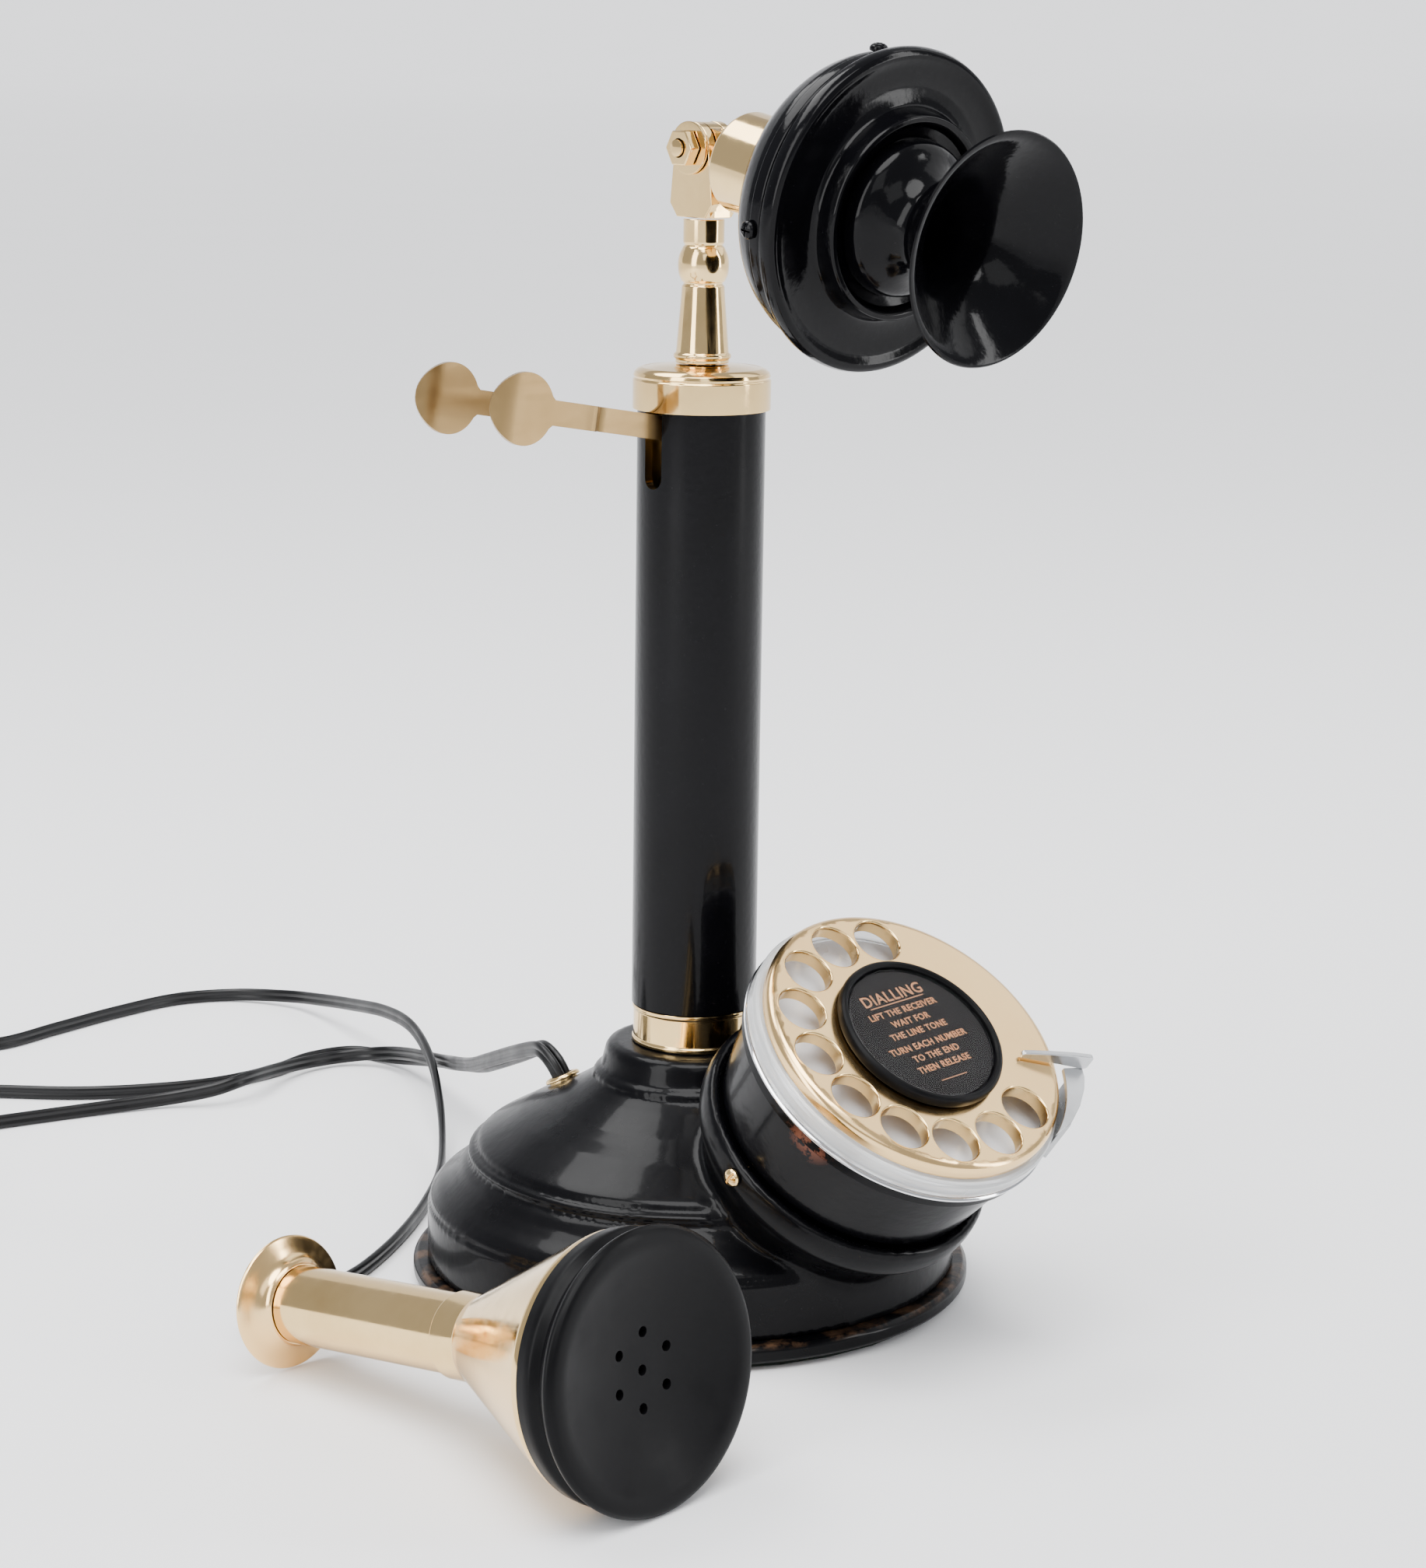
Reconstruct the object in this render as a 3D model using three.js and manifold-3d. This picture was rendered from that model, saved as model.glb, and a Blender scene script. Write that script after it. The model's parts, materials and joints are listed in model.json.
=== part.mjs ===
// Candlestick dial telephone, in millimetres, +Z up.
// Origin: centre of the base's underside. The dial and the mouthpiece face -Y, the hook points to -X.
import * as THREE from 'three';
import { mergeVertices } from 'three/addons/utils/BufferGeometryUtils.js';
import Module from 'manifold-3d';

const wasm = await Module();
wasm.setup();

// ---- Driving dimensions ----
const gap = 0.3; // running and seating clearance between neighbouring pieces
const rad = Math.PI / 180;

const base = {
  plateRadius: 69.6, plateTop: 6.2, feltThick: 1.5, feltRadius: 66, skirtRadius: 66, wall: 2.6,
  skirtHeight: 13, height: 55.1, neckRadius: 22.2, screwCircle: 57, screwRadius: 1.6,
};
const column = { radius: 15.4, wall: 2.2, ringHeight: 9.4, ringRadius: 15.0, height: 152.6 };
const slot = { width: 5.9, height: 24 };
const cap = { radius: 16.6, height: 10.7, roof: 4.1, skirt: 5.7 };
const post = { footRadius: 6.5, waistRadius: 5.1, ballRadius: 6.1, pivotHeight: 50.8, earGap: 4.2, earThick: 2.2 };
const bolt = { radius: 2.0, nutRadius: 4.6, washerRadius: 6.2, acornRadius: 3.6 };
const transmitter = {
  droop: 10.95, cupRadius: 34.6, cupBack: 38.6, plateRadius: 37, plateAt: 65, bossRadius: 22.9, bossHeight: 5.3,
  hornRadius: 26.4, hornLength: 28.1, throatRadius: 7.5, wall: 1.6, lugThick: 3.6,
};
const dial = {
  tilt: 37.5, reach: 77.6, height: 78.3, wheelRadius: 38, holeCircle: 29.6, holeRadius: 5.75,
  firstHole: 73.5, holeStep: 25.5, holes: 10, cardRadius: 21.1, cupDepth: 33.6, cupBack: 33.9,
  cupFront: 37.6, wall: 1.8,
};
const gear = { module: 0.8, mainTeeth: 40, pinionTeeth: 10, thick: 1.5 };
const hook = { rise: 9.7, pivotX: 7, pivotBelowCap: 7.3, thick: 1.3, half: 2.9, lobeRadius: 8.3, lobeAt: 73.5,
  splay: 13.8 };
const receiver = {
  tail: [-114, 12.2, 15.7], swing: 5.56, lift: 7.49, flangeRadius: 15.6, tubeRadius: 9.1, wall: 1.5,
  bellStart: 68, bellEnd: 106, bellRadius: 29.2, capRadius: 31.1, length: 118.6,
};
const cord = { radius: 1.2, coilRadius: 30, coilInner: 17, coilTop: 9, coilX: -135, coilY: 190 };
const eyelet = { around: 111, out: 37, height: 44.9, flange: 4.6, barrel: 3.7, bore: 3.1 };

// Routes of the two flat cords, from the eyelet outwards.
const lineRoute = [
  [-14.6, 34, 45], [-15.6, 36.4, 49], [-15.4, 41, 51.3], [-13.4, 47, 50.2], [-8, 62, 44.6], [2, 86, 35], [14, 108, 26.5], [26, 132, 19], [36, 155, 13],
  [43, 175, 8.4], [45, 190, 5], [38, 200, 3], [26, 202, 3], [12, 198, 4.4], [-5, 189.5, 6.8], [-16, 191, 5],
  [-28, 199, 2.6], [-50, 206, 2], [-74, 211.5, 2], [-98, 216, 2], [-118, 219, 2.2], [-130, 221.6, 2.6],
];
const receiverRoute = [
  [-12, 35, 45], [-12.8, 37.4, 49], [-12.4, 42, 50.9], [-10.2, 48, 49.6], [-4.8, 62, 43.6], [5.2, 84.5, 34.4], [17.2, 106.2, 26], [29.3, 130, 18.4],
  [39.4, 153, 12], [46.6, 173, 6.6], [49, 191, 2.6], [44, 205, 2], [30, 208, 2], [14, 204, 2], [-5, 204, 2],
  [-23, 210, 2], [-42, 221, 2], [-59, 237, 2], [-73, 251, 2], [-92, 266, 2], [-108, 285, 2], [-110, 308, 2],
  [-96, 324, 2], [-76, 322, 2], [-62, 305, 2], [-50, 288, 2], [-34, 279.5, 2], [-12, 283, 2], [12, 287, 2],
  [35, 288, 2], [52, 280, 2.2], [61, 264, 3.6], [61.5, 248, 6], [57, 224, 10.5], [49, 195, 16], [40, 170, 18.5],
  [30, 148, 16], [19, 129, 10], [7, 112, 5], [-7, 95, 2.6], [-24, 79, 2], [-40, 66, 2], [-56, 55, 2],
  [-71, 46.5, 2.2], [-86, 40, 3.6], [-100, 36.4, 6.6], [-110, 33.4, 10.4], [-115, 27, 14], [-114.9, 18.5, 15.1],
];
const tailRoute = [[-166.6, 187, 3], [-168, 178, 2.6], [-167, 166, 2.6], [-163, 156, 3], [-161, 150, 3.4]];

// ---- Materials ----
const finish = (color, roughness, metalness) => new THREE.MeshStandardMaterial({ color, roughness, metalness });
const lacquer = finish(0x0c0c0e, 0.28, 0.0);
const polished = finish(0xd9a441, 0.16, 1.0);
const satinBrass = finish(0xe3b98a, 0.35, 1.0);
const steel = finish(0xb9bcc0, 0.3, 1.0);
const chrome = finish(0xdfe2e6, 0.08, 1.0);
const clear = finish(0xe8eef2, 0.05, 0.0);
const pale = finish(0xd8d8da, 0.5, 0.2);
const ebonite = finish(0x101012, 0.45, 0.0);
const insulator = finish(0x6b4a2b, 0.6, 0.0);
const rubber = finish(0x161616, 0.6, 0.0);
const felt = finish(0x20301f, 0.95, 0.0);
const copper = finish(0xb56a3a, 0.35, 1.0);
const greenBoard = finish(0x1c5a35, 0.5, 0.0);

// ---- Geometry helpers ----
// A solid of revolution about Z from [radius, height] points, kept counter-clockwise so that it faces out.
function lathe(profile, steps = 32) {
  const ring = profile.every(([r]) => r > 0);
  const points = profile.map(([r, z]) => new THREE.Vector2(r, z));
  if (THREE.ShapeUtils.area(points) < 0) points.reverse();
  if (ring) points.push(points[0].clone());
  return new THREE.LatheGeometry(points, steps).rotateX(Math.PI / 2);
}

const disc = (radius, low, high, steps) => lathe([[0, low], [radius, low], [radius, high], [0, high]], steps);
const tube = (inner, outer, low, high, steps) =>
  lathe([[inner, low], [outer, low], [outer, high], [inner, high]], steps);

function box(low, high) {
  const size = high.map((v, i) => v - low[i]);
  return new THREE.BoxGeometry(...size).translate(...low.map((v, i) => v + size[i] / 2));
}

function prism(points, low, high) {
  const shape = new THREE.Shape(points.map(([x, y]) => new THREE.Vector2(x, y)));
  return new THREE.ExtrudeGeometry(shape, { depth: high - low, bevelEnabled: false }).translate(0, 0, low);
}

const polar = (radius, degrees) => [radius * Math.cos(degrees * rad), radius * Math.sin(degrees * rad)];
const hexagon = (radius, turn = 0) => [0, 1, 2, 3, 4, 5].map((i) => polar(radius, i * 60 + turn));

// Turns a shape that stands along Z so that it lies along +X, or along +Y.
const alongX = (geometry) => geometry.rotateY(Math.PI / 2);
const alongY = (geometry) => geometry.rotateX(-Math.PI / 2);

function toSolid(geometry) {
  const bare = geometry.clone();
  bare.deleteAttribute('normal');
  bare.deleteAttribute('uv');
  const merged = mergeVertices(bare, 1e-4);
  const index = merged.index.array;
  const triVerts = [];
  for (let i = 0; i < index.length; i += 3) {
    const [a, b, c] = [index[i], index[i + 1], index[i + 2]];
    if (a !== b && b !== c && c !== a) triVerts.push(a, b, c);
  }
  return new wasm.Manifold(new wasm.Mesh({
    numProp: 3, vertProperties: new Float32Array(merged.attributes.position.array), triVerts: new Uint32Array(triVerts),
  }));
}

function toGeometry(solid) {
  const { vertProperties, triVerts } = solid.getMesh();
  const geometry = new THREE.BufferGeometry();
  geometry.setAttribute('position', new THREE.BufferAttribute(new Float32Array(vertProperties), 3));
  geometry.setIndex(new THREE.BufferAttribute(new Uint32Array(triVerts), 1));
  return geometry;
}

function cut(body, ...tools) {
  return toGeometry(tools.reduce((solid, tool) => solid.subtract(toSolid(tool)), toSolid(body)));
}

function join(...bodies) {
  return toGeometry(bodies.slice(1).reduce((solid, other) => solid.add(toSolid(other)), toSolid(bodies[0])));
}

function common(body, other) {
  return toGeometry(toSolid(body).intersect(toSolid(other)));
}

// A closed band that follows a flat path [x, y]; half(i) is its half height there, along Z.
function ribbon(path, half, thick) {
  const positions = [];
  const index = [];
  path.forEach(([x, y], i) => {
    const [x0, y0] = path[Math.max(i - 1, 0)];
    const [x1, y1] = path[Math.min(i + 1, path.length - 1)];
    const length = Math.hypot(x1 - x0, y1 - y0);
    const nx = -(y1 - y0) / length * thick / 2;
    const ny = (x1 - x0) / length * thick / 2;
    for (const [side, level] of [[1, -1], [1, 1], [-1, 1], [-1, -1]]) {
      positions.push(x + side * nx, y + side * ny, level * half(i));
    }
    if (i === 0) return;
    for (let k = 0; k < 4; k += 1) {
      const [a, b] = [4 * (i - 1) + k, 4 * (i - 1) + (k + 1) % 4];
      index.push(a, b, b + 4, a, b + 4, a + 4);
    }
  });
  const end = 4 * (path.length - 1);
  index.push(0, 2, 1, 0, 3, 2, end, end + 1, end + 2, end, end + 2, end + 3);
  const geometry = new THREE.BufferGeometry();
  geometry.setAttribute('position', new THREE.BufferAttribute(new Float32Array(positions), 3));
  geometry.setIndex(index);
  return geometry;
}

function gearOutline(teeth, module) {
  const pitch = teeth * module / 2;
  const points = [];
  for (let i = 0; i < teeth; i += 1) {
    const step = 360 / teeth;
    const at = i * step;
    points.push(polar(pitch - 1.15 * module, at - 0.27 * step), polar(pitch + 0.7 * module, at - 0.1 * step));
    points.push(polar(pitch + 0.7 * module, at + 0.1 * step), polar(pitch - 1.15 * module, at + 0.27 * step));
  }
  return points;
}

// A plain round tube along smooth cord points.
function cordTube(points, steps) {
  const curve = new THREE.CatmullRomCurve3(points.map((p) => new THREE.Vector3(...p)), false, 'centripetal');
  const section = new THREE.Shape(Array.from({ length: 8 }, (_, i) => new THREE.Vector2(...polar(cord.radius, i * 45))));
  return new THREE.ExtrudeGeometry(section, { steps, extrudePath: curve, bevelEnabled: false });
}

// ---- Scene graph ----
const phone = new THREE.Group();

function add(parent, name, geometry, material) {
  const mesh = new THREE.Mesh(geometry, material);
  mesh.name = name;
  parent.add(mesh);
  return mesh;
}

function addGroup(position, xAxis, zAxis) {
  const group = new THREE.Group();
  const x = new THREE.Vector3(...xAxis).normalize();
  const z = new THREE.Vector3(...zAxis).normalize();
  group.quaternion.setFromRotationMatrix(new THREE.Matrix4().makeBasis(x, new THREE.Vector3().crossVectors(z, x), z));
  group.position.set(...position);
  phone.add(group);
  return group;
}

// Shared heights, from the bottom up.
const plateBottom = base.feltThick + gap;
const shellBottom = base.plateTop + gap;
const skirtTop = shellBottom + base.skirtHeight;
const neckTop = base.plateTop + base.height;
const ringBottom = neckTop + gap;
const ringTop = ringBottom + column.ringHeight;
const tubeBottom = ringTop + gap;
const tubeTop = tubeBottom + column.height;
const capBottom = tubeTop - cap.skirt;
const capTop = capBottom + cap.height;
const socketRadius = column.radius - column.wall - gap;
const pivotZ = capTop + post.pivotHeight;

// The dial's own frame: +Z out of the finger wheel, +X to the right.
const dialNormal = [0, -Math.sin(dial.tilt * rad), Math.cos(dial.tilt * rad)];
const dialGroup = addGroup([0, -dial.reach, dial.height], [1, 0, 0], dialNormal);
dialGroup.updateMatrixWorld();

// ---- Base ----
function makeBase() {
  const R = base.plateRadius;
  const screwSpots = [90, 210, 330].map((a) => polar(base.screwCircle, a));
  const peg = (radius, low, high) => screwSpots.map(([x, y]) => disc(radius, low, high, 12).translate(x, y, 0));
  add(phone, 'felt_pad', disc(base.feltRadius, 0, base.feltThick, 32), felt);
  const plateProfile = [[0, plateBottom], [R - 0.8, plateBottom], [R, plateBottom + 0.8], [R, base.plateTop - 1.2],
    [R - 1.2, base.plateTop], [0, base.plateTop]];
  const plateCuts = [...peg(base.screwRadius + gap, 0, 9), ...peg(3.4, 0, plateBottom + 2)];
  add(phone, 'base_plate', cut(lathe(plateProfile, 36), ...plateCuts), lacquer);

  const [S, top, w] = [base.skirtRadius, neckTop, base.wall];
  const outer = [[0, shellBottom], [S, shellBottom], [S, skirtTop], [S - 1, skirtTop + 2.2],
    [S - 2.2, skirtTop + 4.1], [S - 5, skirtTop + 6.4], [S - 8.2, skirtTop + 8.9], [S - 10.5, skirtTop + 12],
    [S - 11.8, skirtTop + 14.3], [S - 14.4, skirtTop + 17.2], [S - 19.6, top - 21.3], [S - 27.4, top - 17.3],
    [S - 34.9, top - 13.3], [S - 40.9, top - 9.2], [base.neckRadius + 0.7, top - 6.4],
    [base.neckRadius - 0.4, top - 1.6], [base.neckRadius - 2.8, top], [0, top]];
  const inner = [[0, shellBottom - 1], [S - w, shellBottom - 1], [S - w, skirtTop], [S - w - 3.6, skirtTop + 4],
    [S - w - 10, skirtTop + 8.6], [S - w - 14, skirtTop + 13], [S - w - 20, top - 24], [S - w - 34, top - 16.4],
    [19, top - 13], [0, top - 13]];
  // The saddle: a flared collar in line with the dial that carries the back of the dial cup.
  const rim = -dial.cupDepth - gap;
  const collar = [[0, rim], [35.8, rim], [36.7, rim - 1], [36.9, rim - 4], [36.2, rim - 7.5], [34, rim - 11],
    [31, rim - 15], [29, rim - 19], [28, rim - 24], [27.5, rim - 40], [0, rim - 40]];
  const hollow = [[0, rim + 1], [33, rim + 1], [33, rim - 7], [29, rim - 12], [25, rim - 17], [24, rim - 24],
    [24, rim - 48], [0, rim - 48]];
  const inDial = (geometry) => geometry.applyMatrix4(dialGroup.matrixWorld);
  const aboveSkirtFoot = box([-90, -110, shellBottom], [90, 40, top + 40]);
  const saddle = common(inDial(lathe(collar, 26)), aboveSkirtFoot);
  const solid = join(lathe(outer, 36), saddle);
  const hollowed = cut(solid, lathe(inner, 26), common(inDial(lathe(hollow, 18)), aboveSkirtFoot));
  const bosses = peg(4, shellBottom, skirtTop + 4);
  const withBosses = join(hollowed, ...bosses);
  const place = eyeletPlace();
  const eyeletHole = disc(eyelet.barrel + gap, -12, 6, 12).applyMatrix4(place);
  const screwHole = dialScrewShape(1.4 + gap / 2, 0, -6);
  const neckHole = disc(socketRadius + gap, 20, top + 2, 22);
  add(phone, 'base_shell', cut(withBosses, ...peg(base.screwRadius + gap, 0, skirtTop + 1), eyeletHole, screwHole,
    neckHole), lacquer);

  screwSpots.forEach(([x, y], i) => {
    const screw = lathe([[0, plateBottom + 0.4], [3, plateBottom + 0.4], [3, plateBottom + 1.7],
      [base.screwRadius, plateBottom + 1.7], [base.screwRadius, skirtTop], [0, skirtTop]], 12);
    add(phone, `base_screw_${i + 1}`, screw.translate(x, y, 0), steel);
  });

  const grommet = lathe([[eyelet.bore, -3.6], [eyelet.barrel, -3.6], [eyelet.barrel, gap], [eyelet.flange, gap],
    [eyelet.flange, 0.9], [eyelet.flange - 0.7, 1.4], [eyelet.bore, 1.1]], 12);
  add(phone, 'cord_eyelet', grommet.applyMatrix4(place), polished);
  add(phone, 'dial_lock_screw', dialScrewShape(2.2, 2, -5, 1.4), polished);
}

// Frame on the shell's upper slope where the cords come out, +Z along the slope's normal.
function eyeletPlace() {
  const [cx, cy] = polar(1, eyelet.around);
  const normal = new THREE.Vector3(0.438 * cx, 0.438 * cy, 0.899).normalize();
  const side = new THREE.Vector3(-cy, cx, 0);
  const frame = new THREE.Matrix4().makeBasis(side, new THREE.Vector3().crossVectors(normal, side), normal);
  return frame.setPosition(cx * eyelet.out, cy * eyelet.out, eyelet.height);
}

// Frame on the saddle's lip, +Z radially out from the dial's axis.
function dialScrewPlace() {
  const around = 183;
  const [ux, uy] = polar(1, around);
  const out = new THREE.Vector3(ux, uy, 0);
  const up = new THREE.Vector3(0, 0, 1);
  const local = new THREE.Matrix4().makeBasis(up, new THREE.Vector3().crossVectors(out, up), out);
  local.setPosition(ux * 36.9, uy * 36.9, -dial.cupDepth - gap - 3.4);
  return new THREE.Matrix4().multiplyMatrices(dialGroup.matrixWorld, local);
}

// A plain peg, or with a shank radius a dome-headed screw, on that frame.
function dialScrewShape(radius, high, low, shank = 0) {
  const peg = [[0, low], [radius, low], [radius, high + 3], [0, high + 3]];
  const screw = [[0, low], [shank, low], [shank, gap], [radius, gap], [radius, 0.8], [radius * 0.7, 1.5], [0, 1.8]];
  return lathe(shank ? screw : peg, 12).applyMatrix4(dialScrewPlace());
}

// ---- Column, cap and hook ----
function makeColumn() {
  const inner = column.radius - column.wall;
  const shellRoof = neckTop - 13;
  const nutTop = shellRoof - gap;
  const socket = join(disc(socketRadius, nutTop - 6, tubeBottom + 15, 18), prism(hexagon(17.5), nutTop - 6, nutTop));
  add(phone, 'column_socket', cut(socket, disc(socketRadius - 3.2, 0, tubeTop, 16)), steel);
  const [r, lo, hi] = [column.ringRadius, ringBottom, ringTop];
  add(phone, 'collar_ring', lathe([[inner, lo], [r + 0.3, lo], [r + 0.3, lo + 0.8], [r, lo + 1.1], [r, hi - 1.1],
    [r + 0.2, hi - 0.8], [r + 0.2, hi], [inner, hi]], 26), polished);
  const slotBox = box([-column.radius - 3, -slot.width / 2, capBottom + 5.6 - slot.height], [0, slot.width / 2,
    tubeTop + 2]);
  add(phone, 'column_tube', cut(tube(inner, column.radius, tubeBottom, tubeTop, 26), slotBox), lacquer);

  const c = cap.radius;
  const hood = lathe([[3.2 + gap, capTop - cap.roof], [c - 0.9, capTop - cap.roof], [c - 0.9, capBottom], [c, capBottom],
    [c, capTop - 3.6], [c - 0.35, capTop - 3.2], [c - 0.2, capTop - 2.8], [c - 1, capTop - 1.4], [c - 3, capTop - 0.5],
    [c - 6.5, capTop - 0.1], [6.4, capTop], [3.2 + gap, capTop]], 26);
  add(phone, 'column_cap', hood, polished);
}

function makePost() {
  const z0 = capTop + gap;
  const p = post;
  const shoulder = pivotZ - 16.4;
  const half = p.earGap / 2;
  const stem = lathe([[0, capTop - cap.roof - 5], [3.2, capTop - cap.roof - 5], [3.2, z0], [5.5, z0], [5.5, z0 + 1],
    [p.footRadius, z0 + 1.4], [5.9, z0 + 8], [p.waistRadius, z0 + 18.6], [4.7, z0 + 18.9], [5.6, z0 + 20.4],
    [p.ballRadius, z0 + 23.4], [5.6, z0 + 26.6], [4.6, z0 + 28.2], [4.9, z0 + 28.8], [4.9, shoulder + 0.8],
    [0, shoulder + 0.8]], 18);
  const ear = (x) => {
    const outline = [[-7.5, -13], [-5, -16.2], [5, -16.2], [7.5, -13], [6.1, 0]];
    for (let a = 20; a <= 160; a += 20) outline.push([6.1 * Math.cos(a * rad), 6.1 * Math.sin(a * rad)]);
    outline.push([-6.1, 0]);
    return prism(outline, x, x + p.earThick).applyMatrix4(new THREE.Matrix4().makeBasis(
      new THREE.Vector3(0, 1, 0), new THREE.Vector3(0, 0, 1), new THREE.Vector3(1, 0, 0))).translate(0, 0, pivotZ);
  };
  const bridge = box([-half - 0.5, -6.4, pivotZ - 16.2], [half + 0.5, 6.4, pivotZ - 12.6]);
  const bore = alongX(disc(bolt.radius + gap, -12, 12, 12)).translate(0, 0, pivotZ);
  add(phone, 'transmitter_post', cut(join(stem, ear(half), ear(-half - p.earThick), bridge), bore), polished);

  const face = half + p.earThick + gap;
  const head = join(prism(hexagon(bolt.nutRadius, 30), face, face + 2.8), disc(bolt.radius, -face - 4.6, face + 1, 12));
  add(phone, 'pivot_bolt', alongX(head).translate(0, 0, pivotZ), polished);
  const holed = (geometry) => cut(geometry, disc(bolt.radius + gap, -20, face + 4.9, 12));
  const onLeft = (geometry) => alongX(geometry.rotateY(Math.PI)).translate(0, 0, pivotZ);
  add(phone, 'pivot_washer', onLeft(holed(disc(bolt.washerRadius, face, face + 0.8, 16))), polished);
  const dome = lathe([[0, face + 3.6], [bolt.acornRadius, face + 3.6], [bolt.acornRadius, face + 5],
    [bolt.acornRadius * 0.8, face + 6.4], [bolt.acornRadius * 0.4, face + 7.2], [0, face + 7.4]], 12);
  const nut = join(dome, prism(hexagon(bolt.nutRadius), face + 1.1, face + 3.9));
  add(phone, 'acorn_nut', onLeft(holed(nut)), polished);
}

function makeHook() {
  const h = hook;
  const pivot = [h.pivotX, 0, capBottom - h.pivotBelowCap];
  const [c, s] = [Math.cos(h.rise * rad), Math.sin(h.rise * rad)];
  const group = addGroup(pivot, [-c, 0, s], [s, 0, c]);
  const bore = alongY(disc(1.4 + gap, -6, 6, 12));
  const arm = (side, curl) => {
    const y = side * (h.thick / 2 + gap);
    const out = side * h.splay;
    const path = [[-2.6, y], [39.8, y], [41.6, y * 1.4], [50.6, out * 0.86], [52.6, out * 0.93], [60, out * 0.98]];
    const edge = Math.sqrt(h.lobeRadius ** 2 - h.half ** 2);
    for (let i = 0; i <= 12; i += 1) {
      const along = -edge + (edge + h.lobeRadius - 0.1) * i / 12;
      const bend = Math.max(0, along - 2.6) / 5.7;
      path.push([h.lobeAt + along, out + curl * 3.2 * bend * bend]);
    }
    const half = (i) => (i < 6 ? h.half : Math.sqrt(Math.max(h.lobeRadius ** 2 - (path[i][0] - h.lobeAt) ** 2, 0.5)));
    return cut(ribbon(path, half, h.thick), bore);
  };
  add(group, 'hook_arm_near', arm(1, -1), satinBrass);
  add(group, 'hook_arm_far', arm(-1, -1), satinBrass);

  const [px, , pz] = pivot;
  const web = box([10.4, -4.6, capBottom - 56], [11.6, 4.6, pz + 5]);
  const shelf = box([-8, -4.6, pz - 16.4], [11.6, 4.6, pz - 15.2]);
  const cheeks = [-4.6, 3.4].map((y) => box([px - 4, y, pz - 5], [11.6, y + 1.2, pz + 5]));
  const pinBore = alongY(disc(1.4 + gap, -8, 8, 12)).translate(px, 0, pz);
  add(phone, 'hook_bracket', cut(join(web, shelf, ...cheeks), pinBore), steel);
  add(phone, 'hook_pivot_pin', alongY(disc(1.4, -5.4, 5.4, 12)).translate(px, 0, pz), steel);
  const block = box([0.2, -4, pz - 14.9], [6.2, 4, pz - 11.2]);
  const slits = [0.6, 5.2].map((x) => box([x - gap, -2.8, pz - 13.5], [x + 0.4 + gap, 2.8, pz - 10]));
  add(phone, 'switch_block', cut(block, ...slits), insulator);
  [0.6, 5.2].forEach((x, i) => {
    add(phone, `switch_blade_${i + 1}`, box([x, -2.5, pz - 13.2], [x + 0.4, 2.5, pz - 4.6]), copper);
  });
  // Compression spring that holds the arms up.
  const turns = 5;
  const low = pz - 14.6;
  const high = pz - 1.9;
  const points = Array.from({ length: turns * 8 + 1 }, (_, i) => {
    const [x, y] = polar(2.5, i * 45);
    return new THREE.Vector3(x - 4, y, low + 0.6 + (high - low - 1.2) * i / (turns * 8));
  });
  const wire = new THREE.Shape(Array.from({ length: 6 }, (_, i) => new THREE.Vector2(...polar(0.4, i * 60))));
  add(phone, 'hook_spring', new THREE.ExtrudeGeometry(wire, { steps: turns * 8, bevelEnabled: false,
    extrudePath: new THREE.CatmullRomCurve3(points) }), steel);
}

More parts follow.
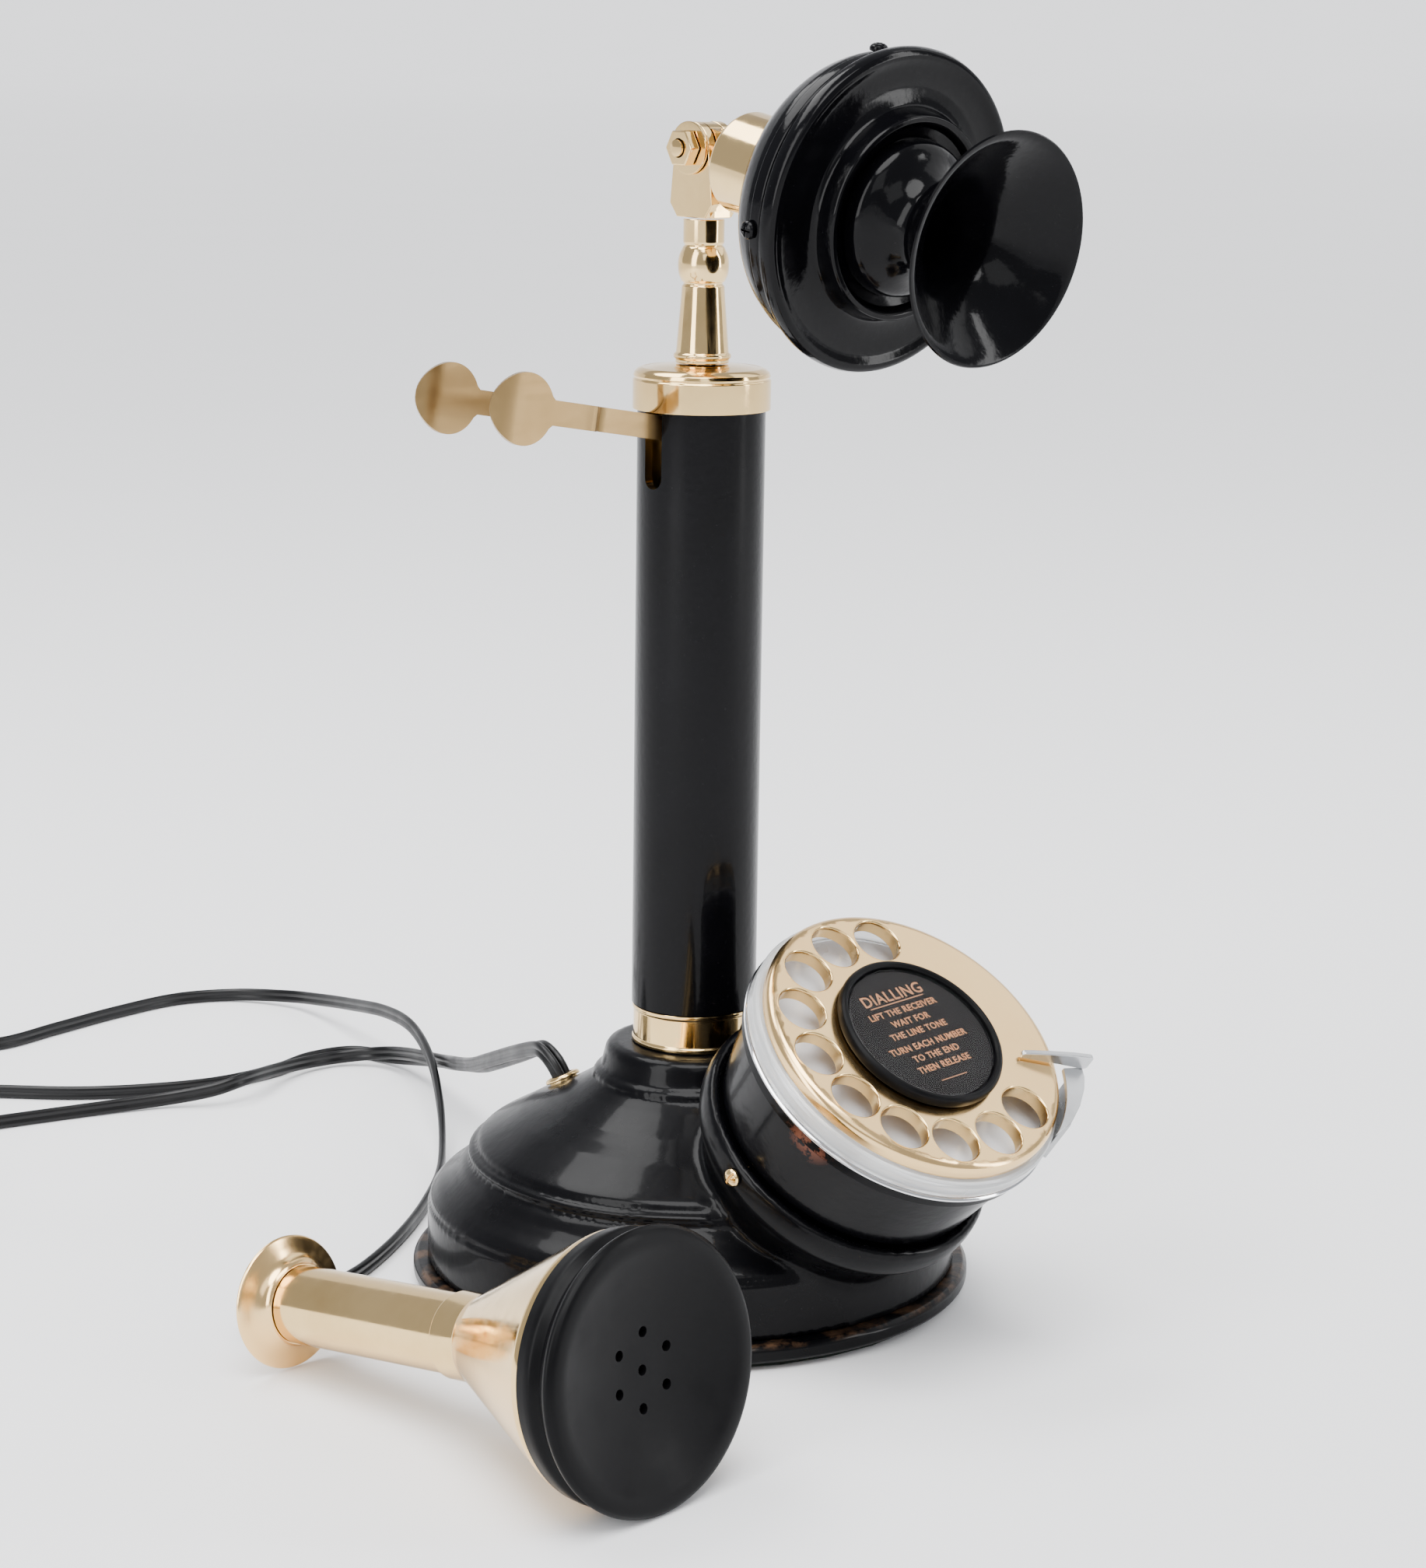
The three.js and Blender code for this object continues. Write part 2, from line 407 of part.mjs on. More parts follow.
// ---- Transmitter ----
function makeTransmitter() {
  const t = transmitter;
  const droop = t.droop * rad;
  const group = addGroup([0, 0, pivotZ], [1, 0, 0], [0, -Math.cos(droop), -Math.sin(droop)]);
  const R = t.cupRadius;
  const front = t.plateAt;
  const tongue = alongX(disc(6, -t.lugThick / 2, t.lugThick / 2, 16));
  const neck = box([-t.lugThick / 2, -5.2, 0], [t.lugThick / 2, 5.2, 11]);
  const seat = t.cupBack;
  const cone = lathe([[0, 10.4], [4.6, 10.4], [8, 12.2], [11.4, 14.8], [12, 15.8], [12, seat - gap], [3, seat - gap],
    [3, seat + 7.4], [0, seat + 7.4]], 18);
  const bore = alongX(disc(bolt.radius + gap, -6, 6, 12));
  add(group, 'transmitter_lug', cut(join(tongue, neck, cone), bore), polished);

  const w = t.wall;
  const back = [[3 + gap, seat], [12, seat], [17, seat + 0.5], [22, seat + 2.2], [26.4, seat + 4.8],
    [30, seat + 8], [32.6, seat + 11.4], [R - 0.4, seat + 14.8], [R, seat + 16.4], [R, front - 6.6],
    [R - w, front - 6.6], [R - w, front - 11], [31.4, seat + 12.2], [28.9, seat + 9.2], [25.4, seat + 6.3],
    [21.4, seat + 3.8], [16.7, seat + 2.1], [12, seat + w], [3 + gap, seat + w]];
  const holes = [96, 188, 312].map((a) => [...polar(1, a)]).map(([ux, uy]) => {
    const place = new THREE.Matrix4().makeBasis(new THREE.Vector3(0, 0, 1), new THREE.Vector3(uy, -ux, 0),
      new THREE.Vector3(ux, uy, 0)).setPosition(0, 0, front - 9);
    return place;
  });
  const pegs = holes.map((place) => disc(1.2 + gap / 2, 28, 40, 12).applyMatrix4(place));
  add(group, 'transmitter_cup', cut(lathe(back, 26), ...pegs), lacquer);
  add(group, 'lug_nut', cut(prism(hexagon(6), seat + 2, seat + 5.5), disc(3 + gap, 0, 60, 12)), steel);
  holes.forEach((place, i) => {
    const screw = lathe([[0, 31.5], [1.2, 31.5], [1.2, R + gap], [2.1, R + gap], [2.1, R + 1], [1.2, R + 1.7],
      [0, R + 1.8]], 12);
    add(group, `transmitter_screw_${i + 1}`, screw.applyMatrix4(place), lacquer);
  });

  const P = t.plateRadius;
  const boss = t.bossRadius;
  const throat = t.throatRadius;
  const facePlate = [[throat + 2, front - 4.4], [P - 1.4, front - 4.4], [P, front - 3], [P - 0.5, front - 0.5],
    [P - 1.9, front + 0.1], [P - 4, front - 0.6], [boss + 1.6, front + 0.2], [boss, front + t.bossHeight],
    [boss - 1, front + t.bossHeight], [boss - 2.2, front + 3.4], [throat + 10, front + 1.6],
    [throat + 2, front + 1.6]];
  const flange = tube(R - w - 3, R - w - gap, front - 10.8, front - 4, 26);
  const flangeHoles = holes.map((place) => disc(1.2 + gap / 2, 28, 40, 12).applyMatrix4(place));
  add(group, 'transmitter_faceplate', cut(join(lathe(facePlate, 26), flange), ...flangeHoles), lacquer);

  const H = t.hornRadius;
  const mouth = front + t.bossHeight + t.hornLength;
  const root = front + 1.9;
  const horn = [[throat, root], [throat + 9.4, root], [throat + 10.4, root + 2], [throat + 9.6, root + 5],
    [throat + 6, root + 8], [throat + 3.6, root + 11.5], [throat + 3.4, root + 15], [throat + 5.6, root + 20],
    [throat + 10, root + 25], [H - 4.4, mouth - 2.6], [H - 0.6, mouth - 1.2], [H, mouth - 0.4], [H - 0.6, mouth],
    [H - 2, mouth - 0.6], [H - 6, mouth - 4.2], [throat + 7.6, root + 24.4], [throat + 3.6, root + 19.6],
    [throat + 1.6, root + 15], [throat, root + 11]];
  add(group, 'mouthpiece', lathe(horn, 26), ebonite);
  add(group, 'transmitter_diaphragm', disc(26, front - 5.6, front - 5, 22), steel);
  add(group, 'carbon_button', lathe([[0, front - 16], [9, front - 16], [9, front - 14], [14, front - 13],
    [14, front - 9], [4, front - 8], [4, front - 6], [0, front - 6]], 16), polished);
}

// ---- Dial ----
function makeDial() {
  const d = dial;
  const back = -d.cupDepth;
  const cup = [[6, back], [d.cupBack, back], [d.cupFront, -12.4], [38.9, -12.1], [38.9, -9.3], [36, -9.3],
    [36, -12.6], [d.cupFront - d.wall, -12.9], [d.cupBack - d.wall, back + d.wall], [6, back + d.wall]];
  add(dialGroup, 'dial_cup', lathe(cup, 26), lacquer);
  add(dialGroup, 'dial_bezel', lathe([[34.5, -9], [39.6, -9], [39.8, -8.5], [39.6, -8], [34.5, -8]], 26), chrome);
  add(dialGroup, 'dial_clear_ring', lathe([[37, -7.7], [39.4, -7.7], [39.4, -4.4], [38.5, -3.1], [37, -3.1]], 26),
    clear);
  add(dialGroup, 'number_plate', tube(3.8, 36.6, -7.7, -6.9, 26), pale);

  const [sx, sy] = polar((gear.mainTeeth + gear.pinionTeeth) * gear.module / 2 + gap, 225);
  const shaftHole = disc(1.5 + gap, -40, 0, 12).translate(sx, sy, 0);
  const pillarSpots = [30, 150, 280].map((a) => polar(28, a));
  const pillars = pillarSpots.map(([x, y]) => disc(1.8, -28, -13.5, 10).translate(x, y, 0));
  const frame = join(disc(33.8, -14, -12.9, 24), disc(31.4, -28.4, -27.3, 24), ...pillars);
  add(dialGroup, 'dial_frame', cut(frame, shaftHole, disc(3 + gap, -30, 0, 12)), steel);

  const holes = Array.from({ length: d.holes }, (_, i) => polar(d.holeCircle, d.firstHole + i * d.holeStep));
  const R = d.wheelRadius;
  const wheel = lathe([[0, 0.1], [R - 1.1, 0.1], [R - 0.9, -2.5], [R, -2.5], [R, -0.6], [R - 0.5, 0.5],
    [R - 3.2, 1.2], [0, 1.2]], 32);
  const pegs = holes.map(([x, y]) => disc(d.holeRadius, -4, 4, 12).translate(x, y, 0));
  add(dialGroup, 'finger_wheel', cut(wheel, ...pegs), satinBrass);
  const C = d.cardRadius;
  add(dialGroup, 'card_holder', lathe([[0, 1.5], [C - 0.6, 1.5], [C, 2.2], [C, 3.8], [C - 0.6, 4.6],
    [C - 1.6, 4.6], [C - 2.2, 3.9], [C - 2.2, 2.3], [0, 2.3]], 26), ebonite);
  add(dialGroup, 'instruction_card', disc(C - 2.5, 2.6, 2.9, 24), ebonite);
  add(dialGroup, 'card_window', disc(C - 2.5, 3.2, 3.8, 24), clear);
  const spindle = lathe([[0, -29.5], [3, -29.5], [3, -2.2], [6, -2.2], [6, -0.2], [0, -0.2]], 12);
  const main = prism(gearOutline(gear.mainTeeth, gear.module), -16.8, -16.8 + gear.thick);
  add(dialGroup, 'dial_spindle', join(spindle, main), steel);

  const shaft = disc(1.5, -29.5, -12, 12);
  const toothHalf = 180 / gear.pinionTeeth;
  const pinion = prism(gearOutline(gear.pinionTeeth, gear.module), -17.2, -14.6).rotateZ((45 + toothHalf) * rad);
  const cam = prism([polar(4.6, 12), polar(4.6, 160), polar(4.6, 200), polar(4.6, 340)], -19.6, -18.4);
  const weights = box([-5.6, -1.3, -25.6], [5.6, 1.3, -22]);
  add(dialGroup, 'impulse_shaft', join(shaft, pinion, cam, weights).translate(sx, sy, 0), polished);
  add(dialGroup, 'impulse_contacts', box([10, -24, -24.5], [22, -21.5, -17]), insulator);

  // Finger stop: a leg outside the rim, a crescent beside the wheel and a blade over it.
  const arc = (radius, from, to, n) => Array.from({ length: n + 1 }, (_, i) => polar(radius, from + (to - from) * i / n));
  const leg = prism([...arc(40.1, -52, -30, 4), ...arc(41.3, -30, -52, 4)], -11.5, 1);
  const crescent = prism([...arc(39, -60, -25, 5), polar(44.6, -25), polar(44.4, -31), polar(42.4, -44)], 0.4, 1.6);
  const bladeRoot = polar(44.6, -25);
  const bladeTip = polar(27.6, -24);
  const bladeMid = polar(36, -26.4);
  const n = [Math.sin(25 * rad) * 0.65, Math.cos(25 * rad) * 0.65];
  const around = (p, k) => [p[0] + k * n[0], p[1] + k * n[1]];
  const blade = prism([around(bladeRoot, -1), around(bladeRoot, 1), around(bladeMid, 1), around(bladeTip, 0.5),
    around(bladeTip, -0.5), around(bladeMid, -1)], 1.5, 6);
  const slope = box([20, -40, 6], [60, 10, 12]).applyMatrix4(new THREE.Matrix4().makeRotationY(-0.09));
  add(dialGroup, 'finger_stop', join(leg, crescent, cut(blade, slope)), steel);
}

// ---- Base internals ----
function makeInternals() {
  const floor = base.plateTop + gap;
  const feet = [[-27, 11], [21, 11], [-27, 39], [21, 39]].map(([x, y]) => disc(2, floor, floor + 4, 10)
    .translate(x, y, 0));
  add(phone, 'circuit_board', join(box([-30, 8, floor + 3], [24, 42, floor + 4.6]), ...feet), greenBoard);
  add(phone, 'sounder', lathe([[0, floor + 4.9], [9.5, floor + 4.9], [9.5, floor + 11], [8.5, floor + 12],
    [0, floor + 12]], 16).translate(10, 29, 0), ebonite);
}

// ---- Receiver ----
function makeReceiver() {
  const r = receiver;
  const [a, b] = [r.swing * rad, r.lift * rad];
  const axis = [Math.sin(a) * Math.cos(b), -Math.cos(a) * Math.cos(b), Math.sin(b)];
  const group = addGroup(r.tail, [Math.cos(a), Math.sin(a), 0], axis);
  const F = r.flangeRadius;
  const T = r.tubeRadius;
  const inside = T - r.wall;
  add(group, 'tail_flange', lathe([[3 + gap, -1.2], [F - 2, -1.2], [F, -0.4], [F, 0.3], [F - 0.8, 0.8], [12.4, 1.8],
    [T + 0.3, 4], [T + 0.3, 5], [inside - gap, 5], [inside - gap, 12], [inside - 1.6, 12], [inside - 1.6, 1.5],
    [3 + gap, 1.5]], 24), polished);
  add(group, 'receiver_handle', tube(inside, T, 5.3, 58.6, 22), polished);
  const [s0, s1, B] = [r.bellStart, r.bellEnd, r.bellRadius];
  add(group, 'receiver_bell', lathe([[inside - gap, 52], [inside - gap, 58.9], [T + 0.7, 58.9], [T + 0.9, 60],
    [T + 0.9, s0 - 1.4], [T + 1.5, s0], [T + 6.4, s0 + 10], [B, s1], [B, s1 + 1.5], [B - 1.6, s1 + 1.5],
    [B - 1.6, s1 + 0.4], [T + 5, s0 + 11], [T - 0.6, s0], [inside - 2, s0 - 3], [inside - 2, 52]], 24), polished);
  const [C, L] = [r.capRadius, r.length];
  const holes = [[0, 0], ...[0, 1, 2, 3, 4, 5].map((i) => polar(8.2, i * 60 + 8))];
  const front = [[0, L - 3.4], [8, L - 3.2], [18, L - 1.9], [25, L - 0.2], [27.6, L + 0.6], [C - 1.8, L + 0.5],
    [C - 0.4, L], [C, L - 0.8], [C - 0.4, L - 2], [C - 2.2, L - 3], [C - 2.6, L - 5.6], [C - 1.5, L - 6.4],
    [C - 1, L - 8.4], [C - 1.4, s1 + 1.8], [B - 1.4, s1 + 1.8], [B - 1.4, L - 6.6], [24, L - 5.4], [0, L - 5.4]];
  add(group, 'ear_cap', cut(lathe(front, 26), ...holes.map(([x, y]) => disc(1.2, L - 8, L + 3, 8).translate(x, y, 0))),
    ebonite);
  add(group, 'receiver_diaphragm', disc(26, L - 7.6, L - 7.1, 22), steel);
  const coils = lathe([[0, s0 + 14], [8.6, s0 + 14], [8.6, s0 + 15.4], [7, s0 + 15.4], [7, s0 + 32],
    [8.6, s0 + 32], [8.6, s0 + 33.4], [0, s0 + 33.4]], 12);
  add(group, 'receiver_magnet', join(box([-3.8, -3.8, 20], [3.8, 3.8, L - 8.6]), coils), steel);
}

// ---- Cords ----
function makeCords() {
  add(phone, 'line_cord', cordTube(lineRoute, 46), rubber);
  add(phone, 'receiver_cord', cordTube(receiverRoute, 76), rubber);
  const c = cord;
  add(phone, 'line_cord_coil', tube(c.coilInner, c.coilRadius, 0.3, c.coilTop, 22).translate(c.coilX, c.coilY, 0),
    rubber);
  add(phone, 'line_cord_end', cordTube(tailRoute, 12), rubber);
  const [x, y, z] = tailRoute[tailRoute.length - 1];
  const plug = join(box([-4.8, -16, -2.6], [4.8, -0.3, 3.4]), box([-1.8, -12, 2], [1.8, -0.8, 4.6]));
  add(phone, 'line_plug', plug.rotateZ(0.2).translate(x, y, z), clear);
}

makeBase();
makeColumn();
makePost();
makeHook();
makeTransmitter();
makeDial();
makeInternals();
makeReceiver();
makeCords();

export default phone;
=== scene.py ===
# Candlestick dial telephone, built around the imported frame. The dictionaries are in millimetres.
import json
import math
import bpy
from mathutils import Matrix, Vector
from mathutils.bvhtree import BVHTree

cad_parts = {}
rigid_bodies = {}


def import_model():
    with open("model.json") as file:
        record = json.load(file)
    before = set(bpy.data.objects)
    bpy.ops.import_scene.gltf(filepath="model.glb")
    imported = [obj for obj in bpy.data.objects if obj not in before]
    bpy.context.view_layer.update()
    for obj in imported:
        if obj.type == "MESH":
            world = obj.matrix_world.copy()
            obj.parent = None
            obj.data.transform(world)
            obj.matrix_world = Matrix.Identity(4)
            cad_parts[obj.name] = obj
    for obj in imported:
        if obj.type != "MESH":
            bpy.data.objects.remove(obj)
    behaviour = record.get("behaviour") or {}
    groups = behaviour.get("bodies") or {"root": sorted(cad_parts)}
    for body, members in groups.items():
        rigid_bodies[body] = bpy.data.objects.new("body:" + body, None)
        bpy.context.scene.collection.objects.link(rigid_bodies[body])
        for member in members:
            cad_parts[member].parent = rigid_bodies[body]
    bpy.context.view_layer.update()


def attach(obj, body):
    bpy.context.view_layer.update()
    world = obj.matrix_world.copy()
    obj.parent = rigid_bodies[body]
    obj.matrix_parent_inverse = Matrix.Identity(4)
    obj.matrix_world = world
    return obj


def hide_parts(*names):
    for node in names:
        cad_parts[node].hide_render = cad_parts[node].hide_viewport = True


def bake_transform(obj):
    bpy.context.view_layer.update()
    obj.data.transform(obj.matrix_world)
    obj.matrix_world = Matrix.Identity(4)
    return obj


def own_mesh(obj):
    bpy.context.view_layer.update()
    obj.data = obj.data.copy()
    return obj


bpy.ops.object.select_all(action="SELECT")
bpy.ops.object.delete()
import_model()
print("frame loaded")

mm = 0.001
deg = math.pi / 180
weld = 0.000002  # points nearer than this become one, in metres
manyFaces = 60000  # a mesh with more keeps its plain smooth normals


# Places of the turned groups, as in the CAD.
def placeAt(origin, xAxis, zAxis):
    x = Vector(xAxis).normalized()
    z = Vector(zAxis).normalized()
    y = z.cross(x)
    place = Matrix((x, y, z)).transposed().to_4x4()
    place.translation = Vector(origin) * mm
    return place


def shifted(place, x, y, z=0):
    return place @ Matrix.Translation(Vector((x, y, z)) * mm)


def polar(radius, degrees):
    return (radius * math.cos(degrees * deg), radius * math.sin(degrees * deg))


stand = Matrix.Identity(4)
dialTilt = 37.5 * deg
dialPlace = placeAt((0, -77.6, 78.3), (1, 0, 0), (0, -math.sin(dialTilt), math.cos(dialTilt)))
pivotHeight = 279.7
droop = 10.95 * deg
transmitterPlace = placeAt((0, 0, pivotHeight), (1, 0, 0), (0, -math.cos(droop), -math.sin(droop)))
swing, lift = 5.56 * deg, 7.49 * deg
receiverAxis = (math.sin(swing) * math.cos(lift), -math.cos(swing) * math.cos(lift), math.sin(lift))
receiverPlace = placeAt((-114, 12.2, 15.7), (math.cos(swing), math.sin(swing), 0), receiverAxis)
rise = 9.7 * deg
hookPivot = (7, 0, 210.9)
hookPlace = placeAt(hookPivot, (-math.cos(rise), 0, math.sin(rise)), (math.sin(rise), 0, math.cos(rise)))
eyelet = {"turn": 111, "radius": 37, "level": 44.9, "outward": 0.438, "upward": 0.899}
eyeletPlace = placeAt((*polar(eyelet["radius"], eyelet["turn"]), eyelet["level"]),
    (*polar(1, eyelet["turn"] + 90), 0), (*polar(eyelet["outward"], eyelet["turn"]), eyelet["upward"]))

# Camera.
viewer = {"spot": (-559.6, -631.8, 308.8), "pitch": 12.213, "turn": -41.806, "roll": 0.826, "lens": 80.88}


def makeCamera():
    bpy.ops.object.camera_add()
    camera = bpy.context.object
    camera.name = "viewCamera"
    camera.data.lens = viewer["lens"]
    camera.data.sensor_width = 36
    camera.data.sensor_fit = "AUTO"
    camera.data.clip_start = 0.01
    a, p, r = viewer["turn"] * deg, viewer["pitch"] * deg, viewer["roll"] * deg
    ahead = Vector((-math.sin(a) * math.cos(p), math.cos(a) * math.cos(p), -math.sin(p)))
    level = Vector((math.cos(a), math.sin(a), 0))
    above = level.cross(ahead)
    right = math.cos(r) * level + math.sin(r) * above
    up = -math.sin(r) * level + math.cos(r) * above
    turn = Matrix((right, up, -ahead)).transposed().to_4x4()
    turn.translation = Vector(viewer["spot"]) * mm
    camera.matrix_world = turn
    bpy.context.scene.camera = camera


makeCamera()


# Modelling helpers.
def clearSelection():
    if bpy.context.object and bpy.context.object.mode != "OBJECT":
        bpy.ops.object.mode_set(mode="OBJECT")
    bpy.ops.object.select_all(action="DESELECT")


def pick(piece):
    clearSelection()
    piece.select_set(True)
    bpy.context.view_layer.objects.active = piece


def selectAll():
    bpy.ops.mesh.select_all(action="SELECT")


def editAll(piece):
    pick(piece)
    bpy.ops.object.mode_set(mode="EDIT")
    selectAll()


def startVertex(name):
    # A plane drawn together to one vertex at the origin, left in edit mode.
    clearSelection()
    bpy.ops.mesh.primitive_plane_add(size=0.01, location=(0, 0, 0))
    piece = bpy.context.object
    piece.name = name
    piece.data.name = name
    bpy.ops.object.mode_set(mode="EDIT")
    bpy.ops.mesh.select_mode(type="VERT")
    selectAll()
    bpy.ops.mesh.merge(type="CENTER")
    return piece


def drawLine(points):
    # Walks the selected vertex through the points, in millimetres.
    last = Vector((0, 0, 0))
    for number, point in enumerate(points):
        spot = Vector(point) * mm
        if number == 0:
            bpy.ops.transform.translate(value=spot - last)
        else:
            bpy.ops.mesh.extrude_region_move(TRANSFORM_OT_translate={"value": spot - last})
        last = spot


def settle(piece, place=stand):
    # Leaves edit mode and writes the place into the mesh.
    bpy.ops.object.mode_set(mode="OBJECT")
    pick(piece)
    piece.matrix_world = place
    bpy.ops.object.transform_apply(location=True, rotation=True, scale=True)


def applyModifier(piece, kind, **values):
    pick(piece)
    modifier = piece.modifiers.new(kind.lower(), kind)
    for key, value in values.items():
        setattr(modifier, key, value)
    bpy.ops.object.modifier_apply(modifier=modifier.name)


def softenEdges(piece, width, segments=2, angle=28):
    if width:
        applyModifier(piece, "BEVEL", width=width * mm, segments=segments, limit_method="ANGLE",
            angle_limit=angle * deg, harden_normals=False, use_clamp_overlap=True)


def shade(piece, angle=32):
    pick(piece)
    bpy.ops.object.shade_smooth_by_angle(angle=angle * deg)
    if len(piece.data.polygons) < manyFaces:
        applyModifier(piece, "WEIGHTED_NORMAL", keep_sharp=True, weight=50)


def curved(points, each=4):
    # Extra points on a smooth line through the given ones.
    found = []
    for i in range(len(points) - 1):
        a, b = Vector(points[i]), Vector(points[i + 1])
        before = Vector(points[i - 1]) if i else a * 2 - b
        after = Vector(points[i + 2]) if i + 2 < len(points) else b * 2 - a
        for k in range(each):
            t = k / each
            found.append(tuple(0.5 * (2 * a + (b - before) * t + (2 * before - 5 * a + 4 * b - after) * t * t
                    + (3 * a - before - 3 * b + after) * t ** 3)))
    return found + [tuple(points[-1])]


def turned(name, profile, place=stand, steps=96, soft=0.25):
    # Spins a [radius, height] line round the local Z axis. A line that stays off the axis closes into a ring.
    piece = startVertex(name)
    drawLine([(r, 0, z) for r, z in profile])
    selectAll()
    if min(r for r, z in profile) > 0:
        bpy.ops.mesh.select_all(action="DESELECT")
        bpy.ops.object.mode_set(mode="OBJECT")
        for end in (0, len(profile) - 1):
            spot = Vector((profile[end][0], 0, profile[end][1])) * mm
            nearest = min(piece.data.vertices, key=lambda v: (v.co - spot).length)
            nearest.select = True
        bpy.ops.object.mode_set(mode="EDIT")
        bpy.ops.mesh.edge_face_add()
        selectAll()
    bpy.ops.mesh.spin(steps=steps, angle=2 * math.pi, center=(0, 0, 0), axis=(0, 0, 1))
    selectAll()
    bpy.ops.mesh.remove_doubles(threshold=weld)
    bpy.ops.mesh.normals_make_consistent(inside=False)
    settle(piece, place)
    softenEdges(piece, soft)
    shade(piece)
    return piece


def outlined(name, points, low, high, place=stand, soft=0.2, segments=2):
    # A flat outline in XY pushed up from low to high.
    piece = startVertex(name)
    drawLine([(x, y, low) for x, y in points])
    selectAll()
    bpy.ops.mesh.edge_face_add()
    bpy.ops.mesh.extrude_region_move(TRANSFORM_OT_translate={"value": (0, 0, (high - low) * mm)})
    selectAll()
    bpy.ops.mesh.normals_make_consistent(inside=False)
    settle(piece, place)
    softenEdges(piece, soft, segments)
    shade(piece)
    return piece


def brick(name, low, high, place=stand, soft=0.2):
    corners = [(low[0], low[1]), (high[0], low[1]), (high[0], high[1]), (low[0], high[1])]
    return outlined(name, corners, low[2], high[2], place, soft)


def rod(radius, low, high, place, steps=32):
    # A plain cutter or tongue.
    return turned("rod", [(0, low), (radius, low), (radius, high), (0, high)], place, steps, 0)


def boolean(piece, tools, operation="DIFFERENCE"):
    for tool in tools:
        applyModifier(piece, "BOOLEAN", operation=operation, object=tool, solver="EXACT")
        bpy.data.objects.remove(tool, do_unlink=True)
    return piece


def merged(piece, others):
    pick(piece)
    for other in others:
        other.select_set(True)
    bpy.context.view_layer.objects.active = piece
    bpy.ops.object.join()
    return piece


def tidy(piece, soft=0.0, angle=32):
    # After a boolean: joins split points, squares the edges off and shades again.
    editAll(piece)
    bpy.ops.mesh.remove_doubles(threshold=2 * weld)
    bpy.ops.object.mode_set(mode="OBJECT")
    softenEdges(piece, soft)
    shade(piece, angle)
    return piece


def finish(piece, material, body, slotName, *nodes):
    piece.data.materials.clear()
    piece.data.materials.append(material)
    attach(piece, body)
    if nodes:
        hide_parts(*nodes)
    return piece


# Materials.
class Mix:
    # A node tree with a Principled shader and small makers for the nodes that feed it.
    def __init__(self, name, **settings):
        self.material = bpy.data.materials.new(name)
        self.material.use_nodes = True
        self.tree = self.material.node_tree
        self.shader = self.tree.nodes["Principled BSDF"]
        for key, value in settings.items():
            self.shader.inputs[key].default_value = value
        self.coordinates = self.tree.nodes.new("ShaderNodeTexCoord").outputs["Object"]

    def node(self, kind, **values):
        made = self.tree.nodes.new(kind)
        for key, value in values.items():
            setattr(made, key, value)
        return made

    def link(self, a, b):
        self.tree.links.new(a, b)

    def mapped(self, scale):
        mapping = self.node("ShaderNodeMapping")
        mapping.inputs["Scale"].default_value = scale
        self.link(self.coordinates, mapping.inputs["Vector"])
        return mapping.outputs["Vector"]

    def noise(self, scale, detail=3, rough=0.55, vector=None):
        made = self.node("ShaderNodeTexNoise")
        made.inputs["Scale"].default_value = scale
        made.inputs["Detail"].default_value = detail
        made.inputs["Roughness"].default_value = rough
        self.link(vector or self.coordinates, made.inputs["Vector"])
        return made.outputs["Fac"]

    def ramp(self, factor, stops):
        made = self.node("ShaderNodeValToRGB")
        elements = made.color_ramp.elements
        while len(elements) < len(stops):
            elements.new(0.5)
        for element, (spot, colour) in zip(elements, stops):
            element.position = spot
            element.color = (*colour, 1)
        self.link(factor, made.inputs["Fac"])
        return made.outputs["Color"]

    def span(self, factor, low, high, fromLow=0.3, fromHigh=0.7):
        made = self.node("ShaderNodeMapRange")
        for key, value in (("From Min", fromLow), ("From Max", fromHigh), ("To Min", low), ("To Max", high)):
            made.inputs[key].default_value = value
        self.link(factor, made.inputs["Value"])
        return made.outputs["Result"]

    def blend(self, factor, a, b):
        made = self.node("ShaderNodeMix", data_type="RGBA")
        for socket, value in ((made.inputs["Factor"], factor), (made.inputs[6], a), (made.inputs[7], b)):
            if hasattr(value, "links"):
                self.link(value, socket)
            else:
                socket.default_value = value
        return made.outputs[2]

    def calc(self, operation, a, b):
        made = self.node("ShaderNodeMath", operation=operation)
        for socket, value in ((made.inputs[0], a), (made.inputs[1], b)):
            if hasattr(value, "links"):
                self.link(value, socket)
            else:
                socket.default_value = value
        return made.outputs[0]

    def colour(self, value):
        self.link(value, self.shader.inputs["Base Color"])

    def roughness(self, value):
        self.link(value, self.shader.inputs["Roughness"])

    def bump(self, *layers):
        # Each layer is (height, strength, depth in metres); they stack.
        normal = None
        for height, strength, depth in layers:
            made = self.node("ShaderNodeBump")
            made.inputs["Strength"].default_value = strength
            made.inputs["Distance"].default_value = depth
            self.link(height, made.inputs["Height"])
            if normal:
                self.link(normal, made.inputs["Normal"])
            normal = made.outputs["Normal"]
        self.link(normal, self.shader.inputs["Normal"])


